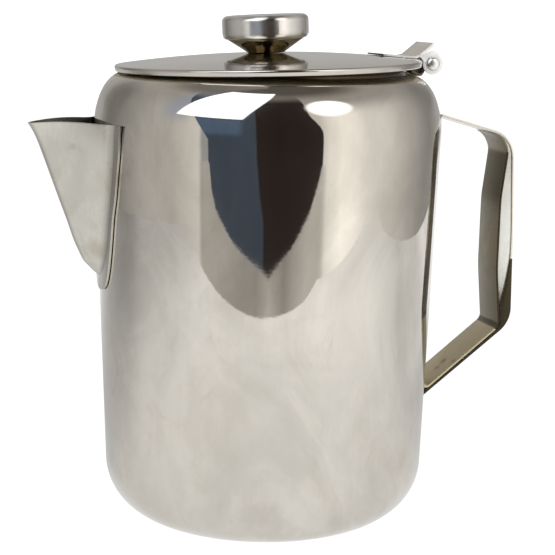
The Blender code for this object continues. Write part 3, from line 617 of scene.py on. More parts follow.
def build_pot():
    corner = (BASE_RADIUS - BASE_CORNER, BASE_CORNER)
    outside = [(0.0, 0.35), (30.0, 0.35), (34.0, 0.25), (38.0, 0.05)]
    outside += arc(corner, BASE_CORNER, -90.0, 0.0, 22)
    outside += [(wall_radius(z), z) for z in range(30, 168, 6)]
    power = 2.0 / SHOULDER_POWER
    for k in range(SHOULDER_STEPS):
        angle = math.radians(90.0 * k / SHOULDER_STEPS)
        reach = (TOP_RADIUS - MOUTH_RADIUS) * math.cos(angle) ** power
        outside.append((MOUTH_RADIUS + reach, SHOULDER_START + SHOULDER_HEIGHT * math.sin(angle) ** power))
    outside += [(MOUTH_RADIUS, SHOULDER_START + SHOULDER_HEIGHT), (MOUTH_RADIUS, NECK_TOP - 0.5)]
    other = offset_path(outside, POT_SHEET)
    other[0] = (0.0, other[0][1])
    rim = [
        (MOUTH_RADIUS - 0.1, NECK_TOP - 0.15),
        (MOUTH_RADIUS - 0.45, NECK_TOP),
        (MOUTH_RADIUS - 0.8, NECK_TOP - 0.15),
    ]
    holes = []
    for row, angles in enumerate(STRAINER_ROWS):
        height = STRAINER_LOW + STRAINER_STEP * row
        for degrees in angles:
            angle = math.pi + math.radians(degrees)
            way = Vector((math.cos(angle), math.sin(angle), 0.0))
            centre = way * (wall_radius(height) - 0.5 * POT_SHEET)
            holes.append(drill((centre.x, centre.y, height), way, 2.0, 3.0, 20))
    points, faces = revolve(outside + rim + other[::-1], ROUND)
    neck, ledge = [], []
    for i, face in enumerate(faces):
        reach = [math.hypot(points[k][0], points[k][1]) for k in face]
        low = measured(points, face)[0]
        # the neck under the lid gets the near-black painted shade
        if MOUTH_RADIUS - 0.2 < min(reach) and max(reach) < MOUTH_RADIUS + 1.4 and low > 190.0:
            neck.append(i)
        # the shoulder's top under the lid gets the olive painted reflection
        elif MOUTH_RADIUS + 0.9 < min(reach) and max(reach) < 67.0 and low > 192.3:
            ledge.append(i)
    more = ((NECK_PAINTED_SHADE, neck), (LEDGE_PAINTED_SHEEN, ledge))
    piece("pot_body", (points, faces), "pot", BODY, "pot_shell", holes=holes, others=more)


# ---------------------------------------------------------------- spout
TOE_END = 108.0  # below this height only the flanges are left, down to the tongue
TONGUE = 102.6
SPOUT_TOP = 173.6
TIP = 103.8
# By height: how far out the ridge is (mm), and where the fold and the flange's edge are (degrees from the ridge).
RIDGE = (
    (108.0, 74.3), (109.2, 75.2), (110.6, 76.8), (112.9, 78.9), (115.1, 80.9), (119.5, 83.0), (123.8, 84.9),
    (132.4, 87.8), (141.0, 90.9), (149.5, 93.9), (158.0, 96.9), (166.3, 100.0), (170.4, 101.9), (173.6, 103.8),
)
FOLD = (
    (108.0, 0.4), (109.4, 2.0), (112.2, 4.3), (118.6, 7.7), (125.4, 9.9), (134.6, 12.0), (142.8, 13.6),
    (153.4, 15.4), (163.9, 16.9), (173.6, 17.6),
)
FLANGE = (
    (102.6, 1.2), (103.2, 4.2), (106.4, 8.3), (113.0, 11.1), (119.7, 12.8), (126.2, 14.1), (135.3, 15.7),
    (143.6, 17.7), (154.1, 19.5), (164.6, 21.2), (173.6, 21.9),
)
SPOUT_SHEET = 0.9


def spout_half(height):
    """Half of a level section as (outward, sideways) points, from the flange edge to the ridge."""
    skin = wall_radius(height) + GAP + SPOUT_SHEET
    ridge = max(spline(RIDGE, height), skin)
    bump = ridge - skin
    fold = math.radians(spline(FOLD, height)) if height > TOE_END else math.radians(0.4)
    edge = max(math.radians(spline(FLANGE, height)), fold + math.radians(0.6))
    nose = min(2.4 + 0.10 * bump, 0.32 * bump + 0.8)
    fillet = min(2.4, 0.26 * bump)
    root = Vector((skin * math.cos(fold), skin * math.sin(fold)))
    tip_y = min(nose * 0.92, 0.8 * root.y)
    tip = Vector((ridge - nose, tip_y))
    way = tip - root
    length = max(way.length, 1e-4)
    way = way / length
    before = Vector((skin * math.cos(fold + fillet / skin), skin * math.sin(fold + fillet / skin)))
    after = root + way * min(fillet * 1.2, 0.3 * length)
    section = []
    for k in range(9):
        angle = edge + (fold + fillet / skin - edge) * k / 9
        section.append((skin * math.cos(angle), skin * math.sin(angle)))
    for k in range(7):
        t = k / 6
        point = (1 - t) ** 2 * before + 2 * t * (1 - t) * root + t * t * after
        section.append((point.x, point.y))
    turn = math.radians(62.0)
    start = Vector((ridge - nose * (1 - math.cos(turn)), tip_y))
    for k in range(1, 11):
        point = after.lerp(start, k / 11)
        section.append((point.x, point.y))
    for k in range(10):
        angle = turn * (1 - k / 9)
        section.append((ridge - nose + nose * math.cos(angle), tip_y * math.sin(angle) / math.sin(turn)))
    return section, skin


def build_spout():
    heights = [TONGUE, 102.75, 103.0, 103.4, 104.0, 105.0, 106.4] + [107.4 + 0.7 * k for k in range(14)]
    heights += [117.4 + 2.4 * k for k in range(20)]
    heights += [164.4, 165.6, 166.6, 167.8, 169.2, 170.8, 172.2, 173.1, SPOUT_TOP]
    outer_rows, inner_rows = [], []
    for height in heights:
        half, skin = spout_half(height)
        half[-1] = (half[-1][0], 0.0)
        whole = half + [(u, -w) for u, w in half[-2::-1]]
        inner = offset_path(whole, -SPOUT_SHEET)
        limit = skin - SPOUT_SHEET
        for rows, line in ((outer_rows, whole), (inner_rows, inner)):
            row = []
            for u, w in line:
                reach = math.hypot(u, w)
                if rows is inner_rows and reach < limit:
                    u, w = u * limit / reach, w * limit / reach
                along = max(0.0, min(1.0, (u - skin) / (TIP - skin)))
                rise = max(0.0, (height - 160.0) / (SPOUT_TOP - 160.0)) ** 1.5
                lift = rise * (0.85 * math.sin(math.pi * along) + 0.58 * (1.0 - along))
                row.append((-u, w, height + lift))
            rows.append(row)
    wide, tall = len(outer_rows[0]), len(outer_rows)
    points = [p for row in outer_rows for p in row] + [p for row in inner_rows for p in row]
    back = wide * tall
    faces = []
    for j in range(tall - 1):
        for i in range(wide - 1):
            a = j * wide + i
            faces.append((a, a + 1, a + wide + 1, a + wide))
            faces.append((back + a, back + a + wide, back + a + wide + 1, back + a + 1))
        for i in (0, wide - 1):
            a = j * wide + i
            faces.append((a, a + wide, back + a + wide, back + a))
    for i in range(wide - 1):
        for j in (0, tall - 1):
            a = j * wide + i
            faces.append((a, back + a, back + a + 1, a + 1))
    # the spout's inner faces get the dark painted shade
    inside = [i for i, face in enumerate(faces) if min(face) >= back]
    # the flanges' outer faces get the darker grey painted shade
    flange = []
    for i, face in enumerate(faces):
        if max(face) < back:
            columns = [k % wide for k in face]
            if max(columns) <= 10 or min(columns) >= wide - 11:
                flange.append(i)
    piece(
        "spout_sheet", (points, faces), "pot", SPOUT, "spout", slot="satin_steel", bevel=0.22, angle=60.0,
        others=((SPOUT_INSIDE_PAINTED_SHADE, inside), (FLANGE_PAINTED_SHADE, flange)),
    )


# ---------------------------------------------------------------- handle
STRAP_SHEET = 1.05
STRAP_HALF = 10.0
STRAP_SIDE = 1.1  # width of the strap's turned-in sides
WELD_TAB = 11.0
LINER_TAPER = 6.5  # the liner's upper end gets thin over this length


def crossing(point, way, path):
    """How far it is from a point, in one direction, to a path; None if it misses."""
    nearest = None
    for first, second in zip(path, path[1:]):
        start = Vector(first)
        run = Vector(second) - start
        depth = way.x * run.y - way.y * run.x
        if abs(depth) < 1e-9:
            continue
        gap = start - point
        along = (gap.x * run.y - gap.y * run.x) / depth
        part = (gap.x * way.y - gap.y * way.x) / depth
        if -1e-6 <= part <= 1.0 + 1e-6 and along > 0.0 and (nearest is None or along < nearest):
            nearest = along
    return nearest


def build_handle():
    tab_x = wall_radius(53.1) + GAP
    corners = [(102.8, 167.2), (110.0, 165.0), (108.7, 154.0), (106.7, 138.0), (106.4, 106.0), (108.6, 80.2)]
    corners += [(tab_x + STRAP_SHEET, 51.9), (tab_x + STRAP_SHEET + 0.4, 53.1 + WELD_TAB)]
    liner = refine(rounded_path(corners, (8.5, 24.0, 60.0, 60.0, 4.0, 1.6), 14), 4.0)
    points, faces = strip(liner, STRAP_SHEET, STRAP_HALF, 2)
    for i, point in enumerate(liner):
        gone = math.dist(liner[0], point) / LINER_TAPER
        if gone < 1.0:
            for near, far in ((0, 5), (1, 4), (2, 3)):
                shown, hidden = Vector(points[6 * i + near]), Vector(points[6 * i + far])
                points[6 * i + near] = tuple(shown.lerp(hidden, 0.8 * (1.0 - gone)))
    arm, rear_painted_light, rims_painted_shade = [], [], []
    for i, face in enumerate(faces):
        low, high = measured(points, face)
        # below 79 mm the lower arm gets the tan painted reflection
        if high < 79.0:
            arm.append(i)
        # back faces above 84 mm get the cream painted light
        elif i % 6 in (4, 5) and low > 84.0:
            rear_painted_light.append(i)
        # side faces below 160 mm get the near-black painted shade
        elif on_edge(points, face, STRAP_HALF) and high < 160.0:
            rims_painted_shade.append(i)
    # the liner's dark brown steel is painted shade
    piece(
        "handle_inner", (points, faces), "pot", LINER_PAINTED_SHADE, "handle_liner", slot="satin_steel", bevel=0.28,
        others=((ARM_PAINTED_SHEEN, arm), (GAP_FACE_PAINTED_LIGHT, rear_painted_light), (SIDE_PAINTED_SHADE, rims_painted_shade)),
    )

    back_of_liner = offset_path(liner, STRAP_SHEET)
    top = wall_radius(176.6 - WELD_TAB) + GAP + STRAP_SHEET
    low = wall_radius(49.9) + GAP + STRAP_SHEET
    corners = [(top, 176.6 - WELD_TAB), (top + 0.1, 177.2), (112.7, 166.9), (114.2, 125.0), (114.8, 81.5)]
    corners += [(low, 48.9), (low - 0.4, 48.9 - WELD_TAB)]
    outer = refine(rounded_path(corners, (1.8, 13.0, 240.0, 13.0, 1.8), 16), 3.0)
    inner = offset_path(outer, -STRAP_SHEET)
    points = []
    for face, back in zip(outer, inner):
        way = (Vector(back) - Vector(face)).normalized()
        space = crossing(Vector(back), way, back_of_liner)
        shut = max(0.0, min(1.0, (122.0 - back[1]) / 32.0)) ** 2.4
        depth = 0.05
        if space is not None and space < 9.0:
            depth = max(0.05, (space - GAP) * shut)
        lip = Vector(back) + way * depth
        wide, inset = STRAP_HALF, STRAP_HALF - STRAP_SIDE
        for y, at in (
            (-wide, face), (0.0, face), (wide, face), (wide, lip), (inset, lip), (inset, back),
            (0.0, back), (-inset, back), (-inset, lip), (-wide, lip),
        ):
            points.append((at[0], y, at[1]))
    size = 10
    faces = joined_rings(size, len(outer))
    for a in (0, size * (len(outer) - 1)):
        for corners in ((0, 1, 6, 7), (1, 2, 5, 6), (2, 3, 4, 5), (7, 8, 9, 0)):
            faces.append(tuple(a + k for k in corners))
    # side faces below 112 mm get the near-black painted shade
    sides = []
    for i, face in enumerate(faces):
        if on_edge(points, face, STRAP_HALF) and measured(points, face)[1] < 112.0:
            sides.append(i)
    # faces seen in the gap get the cream painted light
    gap_painted_light = [
        i for i in range(size * (len(outer) - 1))
        if i % size in (5, 6) and 86.0 < points[faces[i][0]][2] < 164.0
    ]
    piece(
        "handle_outer", (points, faces), "pot", STRAP, "handle_strap", bevel=0.25, angle=40.0,
        others=((SIDE_PAINTED_SHADE, sides), (GAP_FACE_PAINTED_LIGHT, gap_painted_light)),
    )


# ---------------------------------------------------------------- hinge
LEAF_HALF = 10.0
LEAF_SHEET = 0.7
LEAF_GAP = 0.12
TAB_EDGE = 0.9  # extra depth of the thumb tab's edges
TAB_TIP = (72.5, 207.5)
PIN_HEAD = 2.9
BLEND = 0.004  # keeps faces of united solids from lying in one plane


def lid_z(radius):
    """Height of the lid's top before its tilt."""
    return LID_CREASE_Z + LID_RISE * (1.0 - (radius / (LID_RADIUS - LID_ROUND)) ** 2)


def build_hinge():
    path = [(r, shoulder_height(r) + GAP + 0.25) for r in (62.4, 63.4, 64.4, 65.3, 66.2)]
    path += [(67.7, 193.6), (68.75, 195.0)] + arc(HINGE, 3.0, 205.0, 525.0, 40)
    # the bracket's dark steel is painted shade under the lid's rim
    piece("hinge_fixed_leaf", strip(path, 1.0, 8.5), "pot", BRACKET_PAINTED_SHADE, "hinge_bracket", slot="satin_steel", bevel=0.2)

    face = LEAF_HALF + 0.25
    head = [(PIN_HEAD - 0.25, face), (PIN_HEAD, face + 0.2)]
    for k in range(9):
        angle = math.radians(10.0 * k)
        head.append((PIN_HEAD * math.cos(angle), face + 0.45 + 1.2 * math.sin(angle)))
    head.append((0.0, face + 1.65))
    loop = [(r, -h) for r, h in head[::-1]] + [(1.6, -face), (1.6, face)] + head

    def onto_axis(point):
        return (HINGE[0] + point[0], point[2], HINGE[1] + point[1])

    piece("hinge_rivet", revolve(loop, 48, closed=False, place=onto_axis), "pot", PIN, "hinge_pin")

    path = [tilted((r, lid_z(r) + LEAF_GAP)) for r in (49.0, 51.5, 54.0, 56.5, 59.0, 61.5, 63.6)]
    start = Vector(path[-1])
    rise = Vector(TAB_TIP) - start
    bend = [start + rise * 0.12 + Vector((0.35, -0.5)), start + rise * 0.3 + Vector((0.3, -0.4))]
    knots = [Vector(path[-2]), start, bend[0], bend[1], Vector(TAB_TIP)]
    curve = []
    for i in range(1, 4):
        before, here, after = knots[i - 1], knots[i], knots[i + 1]
        further = knots[i + 2] if i < 3 else knots[4] + (knots[4] - knots[3])
        for k in range(6):
            t = k / 6
            curve.append(tuple(0.5 * (
                2 * here + (after - before) * t + (2 * before - 5 * here + 4 * after - further) * t**2
                + (3 * here - before - 3 * after + further) * t**3
            )))
    path = path[:-1] + curve + [TAB_TIP]
    outline = [tilted((62.1, lid_z(62.1) + 0.6))]
    outline += [(69.2, 203.45), (71.6, 204.55), (73.5, 204.6)] + arc(HINGE, 4.7, 40.0, -170.0, 40)
    outline += [(67.5, 200.2), (66.3, 201.75)]
    tab = [point for point in path if point[0] > 66.0]
    edge = tab + offset_path(tab, -TAB_EDGE)[::-1]
    ears = []
    for side in (-1.0, 1.0):
        near, far = side * LEAF_HALF, side * (LEAF_HALF - LEAF_SHEET)
        ears.append(plate(outline, min(near, far), max(near, far)))
        ears.append(plate(edge, min(near, far) + BLEND, max(near, far) - BLEND))
    leaf = raw_object("lid_leaf_blank", *strip(path, LEAF_SHEET, LEAF_HALF))
    combine(leaf, raw_object("ears_blank", *merge_shapes(ears)), operation="UNION", use_self=True)
    points, faces = [tuple(v.co / MM) for v in leaf.data.vertices], [tuple(f.vertices) for f in leaf.data.polygons]
    bpy.data.objects.remove(leaf, do_unlink=True)
    bore = [drill((HINGE[0], 0.0, HINGE[1]), (0.0, 1.0, 0.0), 1.95, 12.0, 40)]
    # the ears' side faces get the near-white painted light
    sides = [i for i, face in enumerate(faces) if on_edge(points, face, LEAF_HALF)]
    # the leaf's inner end gets the near-black painted shade
    end = [i for i, face in enumerate(faces) if measured(points, face, 0)[1] < 49.3]
    # the leaf's near-white steel is painted light
    piece(
        "lid_leaf", (points, faces), "lid", LEAF_PAINTED_LIGHT, "lid_hinge_leaf", slot="satin_steel", bevel=0.16, holes=bore,
        angle=40.0, others=((EAR_PAINTED_LIGHT, sides), (SIDE_PAINTED_SHADE, end)),
    )


# ---------------------------------------------------------------- lid and knob
def build_lid():
    edge = (LID_RADIUS - LID_ROUND, LID_CREASE_Z - LID_ROUND)
    top = [(r, lid_z(r)) for r in (3.1, 4.0, 6.0, *range(8, 52, 4), 52.0, 55.0, 58.0, 60.0, 62.0, 63.4)]
    top += arc(edge, LID_ROUND, 84.0, -14.0, 14)
    wall = top[-1]
    drop = wall[1] - LID_LIP_Z
    top += [(wall[0] - 0.26 * drop * k / 4, wall[1] - drop * k / 4) for k in (1, 2, 3, 4)]
    turned("lid_dome", soft_loop(top, -LID_SHEET, lip=0.2), ROUND, "lid", LID, "lid_shell", place=tilted)

    under = LID_SHEET + GAP
    path = [(57.2, 189.5), (57.2, 192.0), (57.2, 195.0), (57.2, lid_z(57.2) - under - 1.0)]
    path += [(57.05, lid_z(57.0) - under - 0.35)] + [(r, lid_z(r) - under) for r in (56.6, 54.0, 51.7)]
    loop = soft_loop(path, THIN_SHEET)
    # the skirt's near-black steel is painted shade under the lid
    turned("lid_locating_skirt", loop, ROUND, "lid", NECK_PAINTED_SHADE, "lid_skirt", place=tilted, slot="plain_steel")


KNOB_OFFSET = 0.85
KNOB_LEAN = 0.025


def knob_place(point):
    """The knob's own small lean and offset on the lid, then the lid's tilt."""
    c, s = math.cos(KNOB_LEAN), math.sin(KNOB_LEAN)
    x, y, height = point
    rise = height - lid_z(0.0)
    return tilted((x * c - rise * s - KNOB_OFFSET, y, lid_z(0.0) + x * s + rise * c))


def knob_piece(name, loop, segments, material, node, **more):
    turned(name, loop, segments, "lid", material, node, place=knob_place, **more)


def build_knob():
    radius, top, lip = 18.6, 219.1, 209.2
    rounded = (radius - 2.4, top - 2.4)
    path = [(0.0, top), (5.0, top), (10.0, top), (13.0, top - 0.02)] + arc(rounded, 2.4, 86.0, 0.0, 18)
    path += [(radius, 213.5), (radius, lip + 2.6), (radius - 0.08, lip + 1.7), (radius - 0.35, lip + 0.9)]
    path += [(radius - 0.8, lip + 0.35), (radius - 1.25, lip + 0.05), (17.0, lip)]
    other = offset_path(path, -THIN_SHEET)
    other[0] = (0.0, other[0][1])
    knob_piece("knob_drum", path + other[::-1], 128, KNOB, "knob_cap")

    foot = lid_z(0.0) + GAP
    base = foot - 0.27
    cone = [(2.3, base), (7.5, base), (7.85, base + 0.05), (8.2, base + 0.35), (11.0, foot + 2.05), (16.3, 208.9)]
    # the cone's dark brownish steel is painted shade under the drum
    knob_piece("knob_flare", soft_loop(cone, THIN_SHEET), 128, CONE_PAINTED_SHADE, "knob_cone")

    low = foot + THIN_SHEET + GAP
    post = [(0.0, 214.0), (2.0, 214.0), (2.0, low), (5.0, low), (5.0, 217.2), (0.0, 217.2)]
    knob_piece("knob_threaded_post", soft_ring(post, 0.35), 48, ZINC, "knob_post", slot="plain_steel")

    under = lid_z(0.0) - LID_SHEET - GAP
    ring = [(2.3, under - THIN_SHEET), (6.5, under - THIN_SHEET), (6.5, under), (2.3, under)]
    knob_piece("knob_flat_washer", soft_ring(ring, 0.2), 64, ZINC, "knob_washer", slot="plain_steel")
    head = under - THIN_SHEET - GAP
    screw = [(0.0, head - 0.9), (0.5, head - 1.55), (1.0, head - 1.6), (2.6, head - 1.45), (3.3, head - 0.9)]
    screw += [(3.6, head - 0.4), (3.6, head), (1.7, head), (1.7, head + 4.0), (1.7, 212.2), (1.4, 212.5)]
    screw += [(0.0, 212.5)]
    x, y, z = knob_place((0.0, 0.0, head - 1.6))
    across = [(x - 5.0, z - 2.0), (x + 5.0, z - 2.0), (x + 5.0, z + 0.8), (x - 5.0, z + 0.8)]
    shape = revolve(screw, 48, closed=False, place=knob_place)
    piece(
        "knob_slotted_screw", shape, "lid", ZINC, "knob_screw", slot="plain_steel",
        holes=[plate(across, y - 0.45, y + 0.45)],
    )


# ---------------------------------------------------------------- pump and basket
VALVE_TRAVEL = 2.5
BASKET_FLOOR = 121.8
BASKET_RIM = 171.0
SLEEVE_BORE, SLEEVE_RADIUS = 6.6, 7.4


def inner_piece(name, loop, segments, body, material, node, **more):
    turned(name, loop, segments, body, material, node, slot="plain_steel", **more)


def ring_of_holes(ring_radius, count, height, hole_radius, phase_deg):
    holes = []
    for k in range(count):
        angle = 2.0 * math.pi * k / count + math.radians(phase_deg)
        centre = (ring_radius * math.cos(angle), ring_radius * math.sin(angle), height)
        holes.append(drill(centre, (0.0, 0.0, 1.0), hole_radius, 4.0, 20))
    return holes


def build_pump():
    bore, radius, top = 4.8, TUBE_RADIUS, 186.0
    loop = soft_ring([(bore, 9.0), (radius, 9.0), (radius, top), (bore, top)], 0.2)
    inner_piece("tube", loop, 64, "pump", TUBE, "pump_tube")

    low = POT_SHEET + GAP
    deck = low + 15.0
    neck = TUBE_RADIUS + GAP
    path = rounded_path(
        [(35.0, low), (33.0, low + 1.2), (22.5, deck - 1.2), (20.0, deck), (neck, deck), (neck, 24.0)],
        (1.5, 6.0, 3.0, 0.9), 6,
    )
    holes = ring_of_holes(13.5, 6, deck, 1.8, 0.0)
    inner_piece("tube_bell_foot", soft_loop(path, -THIN_SHEET), 96, "pump", INNER, "pump_foot", holes=holes)

    inside, base = neck + THIN_SHEET + 0.5, deck + THIN_SHEET + GAP
    top = base + THIN_SHEET
    loop = soft_ring([(inside, base), (17.0, base), (17.0, top), (inside, top)], 0.2)
    inner_piece("loose_valve", loop, 96, "valve", INNER, "valve_washer")

    stop = top + VALVE_TRAVEL + GAP
    hold = neck + THIN_SHEET + GAP
    loop = soft_ring([(hold, stop), (hold + 3.0, stop), (hold + 3.0, stop + 1.6), (hold, stop + 1.6)], 0.4)
    inner_piece("valve_stop", loop, 64, "pump", ZINC, "valve_stop_ring")

    loop = soft_ring([(neck, 119.0), (8.0, 119.0), (9.5, 120.2), (9.5, 121.4), (neck, 121.4)], 0.3)
    inner_piece("basket_rest", loop, 64, "pump", ZINC, "basket_rest_collar")


def build_basket():
    hole, foot, floor, rim = SLEEVE_RADIUS + GAP, 48.0, BASKET_FLOOR, BASKET_RIM
    outside = [(hole, floor), (20.0, floor), (36.0, floor), (foot - 3.0, floor)]
    outside += arc((foot - 3.0, floor + 3.0), 3.0, -80.0, 0.0, 10)
    outside += [(foot + 0.5, 136.5), (foot + 1.0, 148.0), (foot + 1.5, 159.0)]
    outside += [(50.0, rim - 1.6), (50.5, rim - 0.7), (51.5, rim)]
    holes = ring_of_holes(20.0, 6, floor, 1.5, 0.0) + ring_of_holes(35.0, 10, floor, 1.5, 7.0)
    loop = soft_loop(outside, THIN_SHEET)
    inner_piece("basket", loop, 128, "basket", INNER, "basket_shell", holes=holes)

    bore, radius, collar, deck = SLEEVE_BORE, SLEEVE_RADIUS, 9.6, floor + THIN_SHEET + GAP
    loop = [(bore, floor), (radius, floor), (radius, deck), (collar, deck), (collar, deck + THIN_SHEET)]
    loop += [(radius, deck + THIN_SHEET), (radius, 168.0), (bore, 168.0)]
    inner_piece("basket_centre_sleeve", soft_ring(loop, 0.25), 64, "basket", TUBE, "basket_sleeve")

    seat = rim + THIN_SHEET + GAP
    dish = seat - 1.2
    hole = TUBE_RADIUS + 0.8
    path = [(51.4, seat + 1.6), (51.4, seat + 0.8), (51.2, seat + 0.3), (50.9, seat)]
    path += [(40.0, seat), (30.0, seat), (24.0, seat), (23.3, seat - 0.3), (22.6, seat - 0.9), (22.0, dish)]
    path += [(15.0, dish), (hole + 2.5, dish), (hole + 1.6, seat - 0.9), (hole + 1.2, seat - 0.2)]
    path += [(hole + 1.2, seat + 3.0)]
    holes = ring_of_holes(30.0, 6, seat, 1.5, 4.0) + ring_of_holes(41.0, 10, seat, 1.5, 0.0)
    loop = soft_loop(path, -THIN_SHEET)
    inner_piece("spreader", loop, 128, "spreader", INNER, "spreader_plate", holes=holes)


build_pot()
build_spout()
build_handle()
build_hinge()
build_lid()
build_knob()
build_pump()
build_basket()


# ---------------------------------------------------------------- studio
TURN = -16.5  # the camera's bearing; the floor and the room are described in a frame turned by it
WHITE = (1.0, 1.0, 1.0, 1.0)

# The paper's outline in mm, with the front edge and the corner that the steel mirrors.
PAPER = (
    (-580, -454), (-430, -442), (-300, -438), (0, -438), (200, -440), (288, -459), (838, -266), (731, -132),
    (712, -10), (704, 148), (684, 369), (678, 581), (700, 2600), (-900, 2600), (-807, 332), (-813, 43), (-722, -252),
)
# Brightness of the paper from left to right and from front to back, as (metres, level).
PAPER_ACROSS = (
    (-1.2, 0.46), (-0.72, 0.53), (-0.57, 0.61), (-0.45, 0.72), (-0.35, 0.86), (-0.2, 1.0), (0.0, 1.0),
    (0.15, 1.01), (0.25, 1.05), (0.45, 1.08), (0.6, 1.05), (0.75, 1.0), (0.9, 0.97), (1.2, 0.80),
)
PAPER_ALONG = (
    (-0.45, 1.02), (-0.27, 0.98), (-0.09, 0.92), (0.03, 0.71), (0.09, 0.58), (0.16, 0.53), (0.25, 0.52),
    (0.35, 0.56), (0.5, 0.86), (0.8, 1.00), (1.2, 0.78),
)
PAPER_LEVEL = 0.96
# The room's brightness by bearing (degrees from the camera's side of the pot, positive to the right).
WALL_TONE = (
    (-180, 0.50), (-165, 0.45), (-150, 0.40), (-140, 0.26), (-130, 0.22), (-120, 0.25), (-110, 0.35),
    (-100, 0.42), (-90, 0.50), (-80, 0.55), (-65, 0.58), (-52, 0.76), (-44, 0.86), (34, 0.80), (40, 1.15),
    (50, 1.42), (60, 1.32), (70, 1.05), (80, 0.93), (90, 0.80), (100, 0.66), (110, 0.53), (120, 0.42),
    (130, 0.34), (140, 0.28), (150, 0.27), (165, 0.38), (180, 0.50),
)
# Where the carpet ends and the doorway begins, as (bearing, elevation).
DOOR_FOOT = (
    (-60, -9.0), (-38, -9.0), (-36, -10.6), (-33, -11.4), (-29, -11.9), (-22, -12.7), (-14, -13.3),
    (2, -14.1), (16, -13.0), (22, -12.3), (28, -11.5), (33, -10.5), (36, -9.6), (60, -9.6),
)
# Where the doorway turns from slate to brown, as (elevation, bearing).
DOOR_SPLIT = ((-20, -1.5), (-12, -1.8), (-11, -4.5), (-9.5, -6.5), (15, -7.5), (30, -9.0), (50, -12.0))
# The carpet's lighter and darker strips, as (bearing, factor).
CARPET_FOLDS = (
    (-60, 1.0), (-43, 1.09), (-20, 1.0), (-6, 0.90), (2, 1.26), (12, 0.78), (20, 1.1), (27, 1.4), (36, 1.4),
    (60, 1.0),
)


def floor_material():
    """Paper that is white to the camera; the steel sees it fall off to the sides and behind the pot."""
    material, g, shader = new_finish("floor_paper")
    x, y, _ = g.axes(g.place)

    def profile(value, low, high, stops):
        # A smoothed ramp stops at 1, so it holds half of each level.
        halves = [((at - low) / (high - low), (level / 2,) * 3) for at, level in stops]
        return g.times(g.ramp(g.span(value, low, high, kind="LINEAR"), halves, "B_SPLINE"), 2.0)

    # painted light: to the steel the paper glows, dimmer to the left and behind; the left mask paints shade beside
    # the pot and the right mask a pool of light
    painted_glow = g.times(profile(x, -1.4, 1.4, PAPER_ACROSS), profile(y, -0.6, 1.4, PAPER_ALONG), PAPER_LEVEL)
    left = g.times(g.span(x, 0.0, -0.12), g.times(g.span(y, -0.04, 0.05), g.span(y, 0.14, 0.34, 1.0, 0.0)))
    right = g.times(g.span(x, 0.18, 0.32), g.times(g.span(y, 0.03, 0.15), g.span(y, 0.40, 0.55, 1.0, 0.0)))
    painted_glow = g.times(painted_glow, g.math("SUBTRACT", 1.0, g.times(left, 0.12)))
    painted_glow = g.times(painted_glow, g.math("ADD", 1.0, g.times(right, 0.36)))
    seen = g.add("ShaderNodeLightPath").outputs["Is Camera Ray"]
    strength = g.math("ADD", g.times(painted_glow, g.math("SUBTRACT", 1.0, seen)), seen)
    paper = g.mix(g.noise((9.0, 9.0, 9.0)), (0.10, 0.10, 0.10), (0.12, 0.12, 0.12))
    g.fill(shader, Base_Color=paper, Roughness=0.9, Specular_IOR_Level=0.0)
    g.fill(shader, Emission_Color=WHITE, Emission_Strength=strength)
    return material


def build_floor():
    """A sheet of white paper under the pot."""
    floor = raw_object("floor", [(x, y, -0.05) for x, y in PAPER], [tuple(range(len(PAPER)))])
    floor.rotation_euler.z = math.radians(TURN)
    floor.data.materials.append(floor_material())


